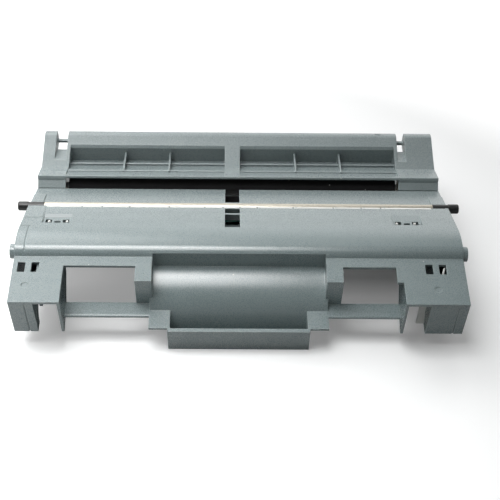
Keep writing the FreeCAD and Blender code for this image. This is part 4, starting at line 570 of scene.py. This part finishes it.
def in_cross(face):
    """Whether a face of the grid, which reaches from -1 to 1, is in the cross at its middle."""
    across, along = sorted(abs(value) for value in face.calc_center_median().xy)
    return across < 0.1 and along < 0.5


def lower(mesh, geometry, depth):
    """Push what an operator has just extruded down by a depth."""
    corners = [item for item in geometry if isinstance(item, bmesh.types.BMVert)]
    bmesh.ops.translate(mesh, vec=(0, 0, -depth), verts=corners)


def add_screw(mesh, matrix):
    """Screw that faces up, with its head's underside at the origin, moved by the matrix."""
    part = bmesh.new()
    bmesh.ops.create_grid(part, x_segments=5, y_segments=5, size=1)
    cross = [face for face in part.faces if in_cross(face)]
    for vert in part.verts:
        if max(abs(vert.co.x), abs(vert.co.y)) > 0.9:
            vert.co = vert.co.normalized() * HEAD_RADIUS
        else:
            for axis in (0, 1):
                wanted = RECESS_WIDE if abs(vert.co[axis]) < 0.4 else RECESS_LONG
                vert.co[axis] = math.copysign(wanted, vert.co[axis])
    bmesh.ops.translate(part, vec=(0, 0, HEAD_THICK), verts=part.verts)
    lower(part, bmesh.ops.extrude_face_region(part, geom=cross)["geom"], RECESS_DEEP)
    rim = [edge for edge in part.edges if edge.is_boundary]
    lower(part, bmesh.ops.extrude_edge_only(part, edges=rim)["geom"], HEAD_THICK)
    bmesh.ops.bevel(part, geom=rim, offset=HEAD_ROUND, segments=3, profile=0.5,
                    affect="EDGES", material=-1)
    rim = [edge for edge in part.edges if edge.is_boundary]
    underside = bmesh.ops.edgeloop_fill(part, edges=rim)["faces"]
    bmesh.ops.inset_region(part, faces=underside, thickness=HEAD_RADIUS - SHANK_RADIUS)
    lower(part, bmesh.ops.extrude_face_region(part, geom=underside)["geom"], SHANK_LONG)
    bmesh.ops.transform(part, matrix=matrix, verts=part.verts)
    data = bpy.data.meshes.new("screw")
    part.to_mesh(data)
    part.free()
    mesh.from_mesh(data)
    bpy.data.meshes.remove(data)


print("head of a screw in mm:", 2 * HEAD_RADIUS, "wide,", HEAD_THICK, "thick")

# %% [markdown]
# ## Six screws
# Six equal screws hold the covers, three at each end. They could be six copies of one object, but
# they never move on their own, so they are one piece. It takes the place of the plain solid whose
# screws stand at the same points. Driven screws end at any angle, so the crosses aren't in line:
# the number of a screw's place serves as its angle.

# %% Screws at both ends
END_WALL = 150.0
SCREW_PLACES = ((129.0, -73.5), (154.0, -76.0), (162.0, -50.5))

screws = bmesh.new()
for side in (-1, 1):
    outward = Matrix.Rotation(side * math.radians(90), 4, "Y")
    for back, up in SCREW_PLACES:
        twist = Matrix.Rotation(math.radians(back), 4, "Z")
        add_screw(screws, Matrix.Translation((side * END_WALL, back, up)) @ outward @ twist)
print("open edges of the screws:", sum(edge.is_boundary for edge in screws.edges))
cross_screws = new_piece("cross_screws", screws, turned_steel, "frame")
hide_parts("side_screws")
low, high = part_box("side_screws")
print("box of the plain screws in mm:", in_mm(low), in_mm(high))

# %% [markdown]
# ## The table
# A white table top fills the picture. Its shader is a satin white that takes the unit's shadow.
# More light would make it as pale as in the photograph, but would bleach the unit as well. So the
# table glows a little where the camera sees it: most far away, less near the unit, and least below
# its right half. For the light that it throws back, the table is a middle grey, so that the faces
# that look down and to the front stay as dark as they are in the photograph.

# %% White table
TABLE_SEEN = (0.86, 0.87, 0.87, 1)
TABLE_THROWS = (0.52, 0.53, 0.53, 1)
NEAR_REACH, FAR_REACH, FAR_GLOW = 0.20, 0.50, 0.9
SIDE_REACH, LEFT_GLOW, RIGHT_GLOW = 0.2, 0.36, 0.13
UNIT_HALF, UNIT_HALF_END = 0.135, 0.150
FRONT_START, FRONT_FULL = -0.038, -0.014
BACK_FULL, BACK_END = 0.08, 0.10
SHADE_START, SHADE_END, SHADE_LEFT, SHADE_RIGHT = -0.11, 0.07, -0.04, 0.11

table_mesh = bmesh.new()
bmesh.ops.create_grid(table_mesh, x_segments=1, y_segments=1, size=3)
table_data = bpy.data.meshes.new("table_top")
table_mesh.to_mesh(table_data)
table_mesh.free()
table = bpy.data.objects.new("table_top", table_data)
bpy.context.scene.collection.objects.link(table)

white_table = bpy.data.materials.new("white_table")
white_table.use_nodes = True
tree = white_table.node_tree
shader = tree.nodes["Principled BSDF"]
place = object_place(tree)
across, back, _ = add_node(tree, "ShaderNodeSeparateXYZ", Vector=place).outputs
distance = add_node(tree, "ShaderNodeVectorMath", {"operation": "LENGTH"},
                    _0=place).outputs["Value"]
far_glow = fade(tree, distance, NEAR_REACH, FAR_REACH, 0.0, FAR_GLOW, "SMOOTHSTEP")
# Painted light and painted shadow on the table: the glow is strongest on the left and weakest
# below the unit's right half.
near_glow = fade(tree, across, -SIDE_REACH, SIDE_REACH, LEFT_GLOW, RIGHT_GLOW)
below_sides = fade(tree, maths(tree, "ABSOLUTE", across), UNIT_HALF, UNIT_HALF_END, 1.0, 0.0)
below_front = fade(tree, back, FRONT_START, FRONT_FULL, 0.0, 1.0)
below_back = fade(tree, back, BACK_FULL, BACK_END, 1.0, 0.0)
below = maths(tree, "MULTIPLY", below_sides, maths(tree, "MULTIPLY", below_front, below_back))
depth = fade(tree, across, SHADE_START, SHADE_END, SHADE_LEFT, SHADE_RIGHT)
shade = maths(tree, "MULTIPLY", below, depth)
glow = maths(tree, "MAXIMUM", maths(tree, "SUBTRACT", near_glow, shade, clamp=True), far_glow)
seen = add_node(tree, "ShaderNodeLightPath").outputs["Is Camera Ray"]
tree.links.new(mixed(tree, seen, TABLE_THROWS, TABLE_SEEN), shader.inputs["Base Color"])
tree.links.new(maths(tree, "MULTIPLY", glow, seen), shader.inputs["Emission Strength"])
shader.inputs["Emission Color"].default_value = (1, 1, 1, 1)
shader.inputs["Roughness"].default_value = 0.30
table_data.materials.append(white_table)
print("nodes in the table's material:", len(tree.nodes))

# %% [markdown]
# ## Lamps
# A satin surface shows its lamps as broad soft mirror images, so each lamp is placed where a
# bright face looks, and not where it would only throw light. Two ceiling panels on the left give
# the bright left half of the plate and the line along the crest, which fade out to the right. A
# window at the back left and a wide pale wall behind light the hood, the cover and the arms. A
# third ceiling panel fills the recesses, and a small low lamp stands for the light from the table.

# %% Lamps
def lamp(name, place, aim, wide, high, power, spread=180):
    """Rectangular lamp that shines from a place towards a point, with its size in metres."""
    data = bpy.data.lights.new(name, "AREA")
    data.shape = "RECTANGLE"
    data.size, data.size_y, data.energy = wide, high, power
    data.spread = math.radians(spread)
    item = bpy.data.objects.new(name, data)
    bpy.context.scene.collection.objects.link(item)
    item.location = place
    item.rotation_euler = (Vector(aim) - Vector(place)).to_track_quat("-Z", "Y").to_euler()


UNIT_MIDDLE = (0, 0, 0.03)
lamp("ceiling_front", (-0.30, -0.29, 0.90), (-0.30, -0.29, 0), 0.70, 0.52, 3.0, spread=90)
lamp("ceiling_near", (-0.34, -0.05, 0.85), (-0.34, -0.05, 0), 0.6, 0.3, 0.4, spread=95)
lamp("window", (-0.6, 0.6, 1.0), UNIT_MIDDLE, 1.0, 0.8, 6.0)
lamp("pale_wall", (0.0, 1.2, 0.55), UNIT_MIDDLE, 2.4, 1.1, 10.0)
lamp("ceiling_back", (-0.15, 0.35, 0.75), (-0.15, 0.1, 0.03), 0.9, 0.5, 0.9)
lamp("table_bounce", (-0.40, -0.35, 0.28), (-0.12, -0.06, 0.03), 0.2, 0.2, 0.12)
print("lamps:", len(bpy.data.lights))

# %% [markdown]
# ## The room
# The world adds a weak even light from all sides, so that no shadow is quite black. A brighter
# world would wash the shadows out. The camera sees it white, as the photograph's ground is. The
# Standard view shows a colour as it is written.

# %% World
ROOM_LIGHT = (0.038, 0.038, 0.038, 1)
ROOM_SEEN = (1, 1, 1, 1)

world = bpy.data.worlds.new("pale_room")
world.use_nodes = True
tree = world.node_tree
seen = add_node(tree, "ShaderNodeLightPath").outputs["Is Camera Ray"]
room = mixed(tree, seen, ROOM_LIGHT, ROOM_SEEN)
tree.links.new(room, tree.nodes["Background"].inputs["Color"])
bpy.context.scene.world = world
bpy.context.scene.view_settings.view_transform = "Standard"
print("world:", world.name)
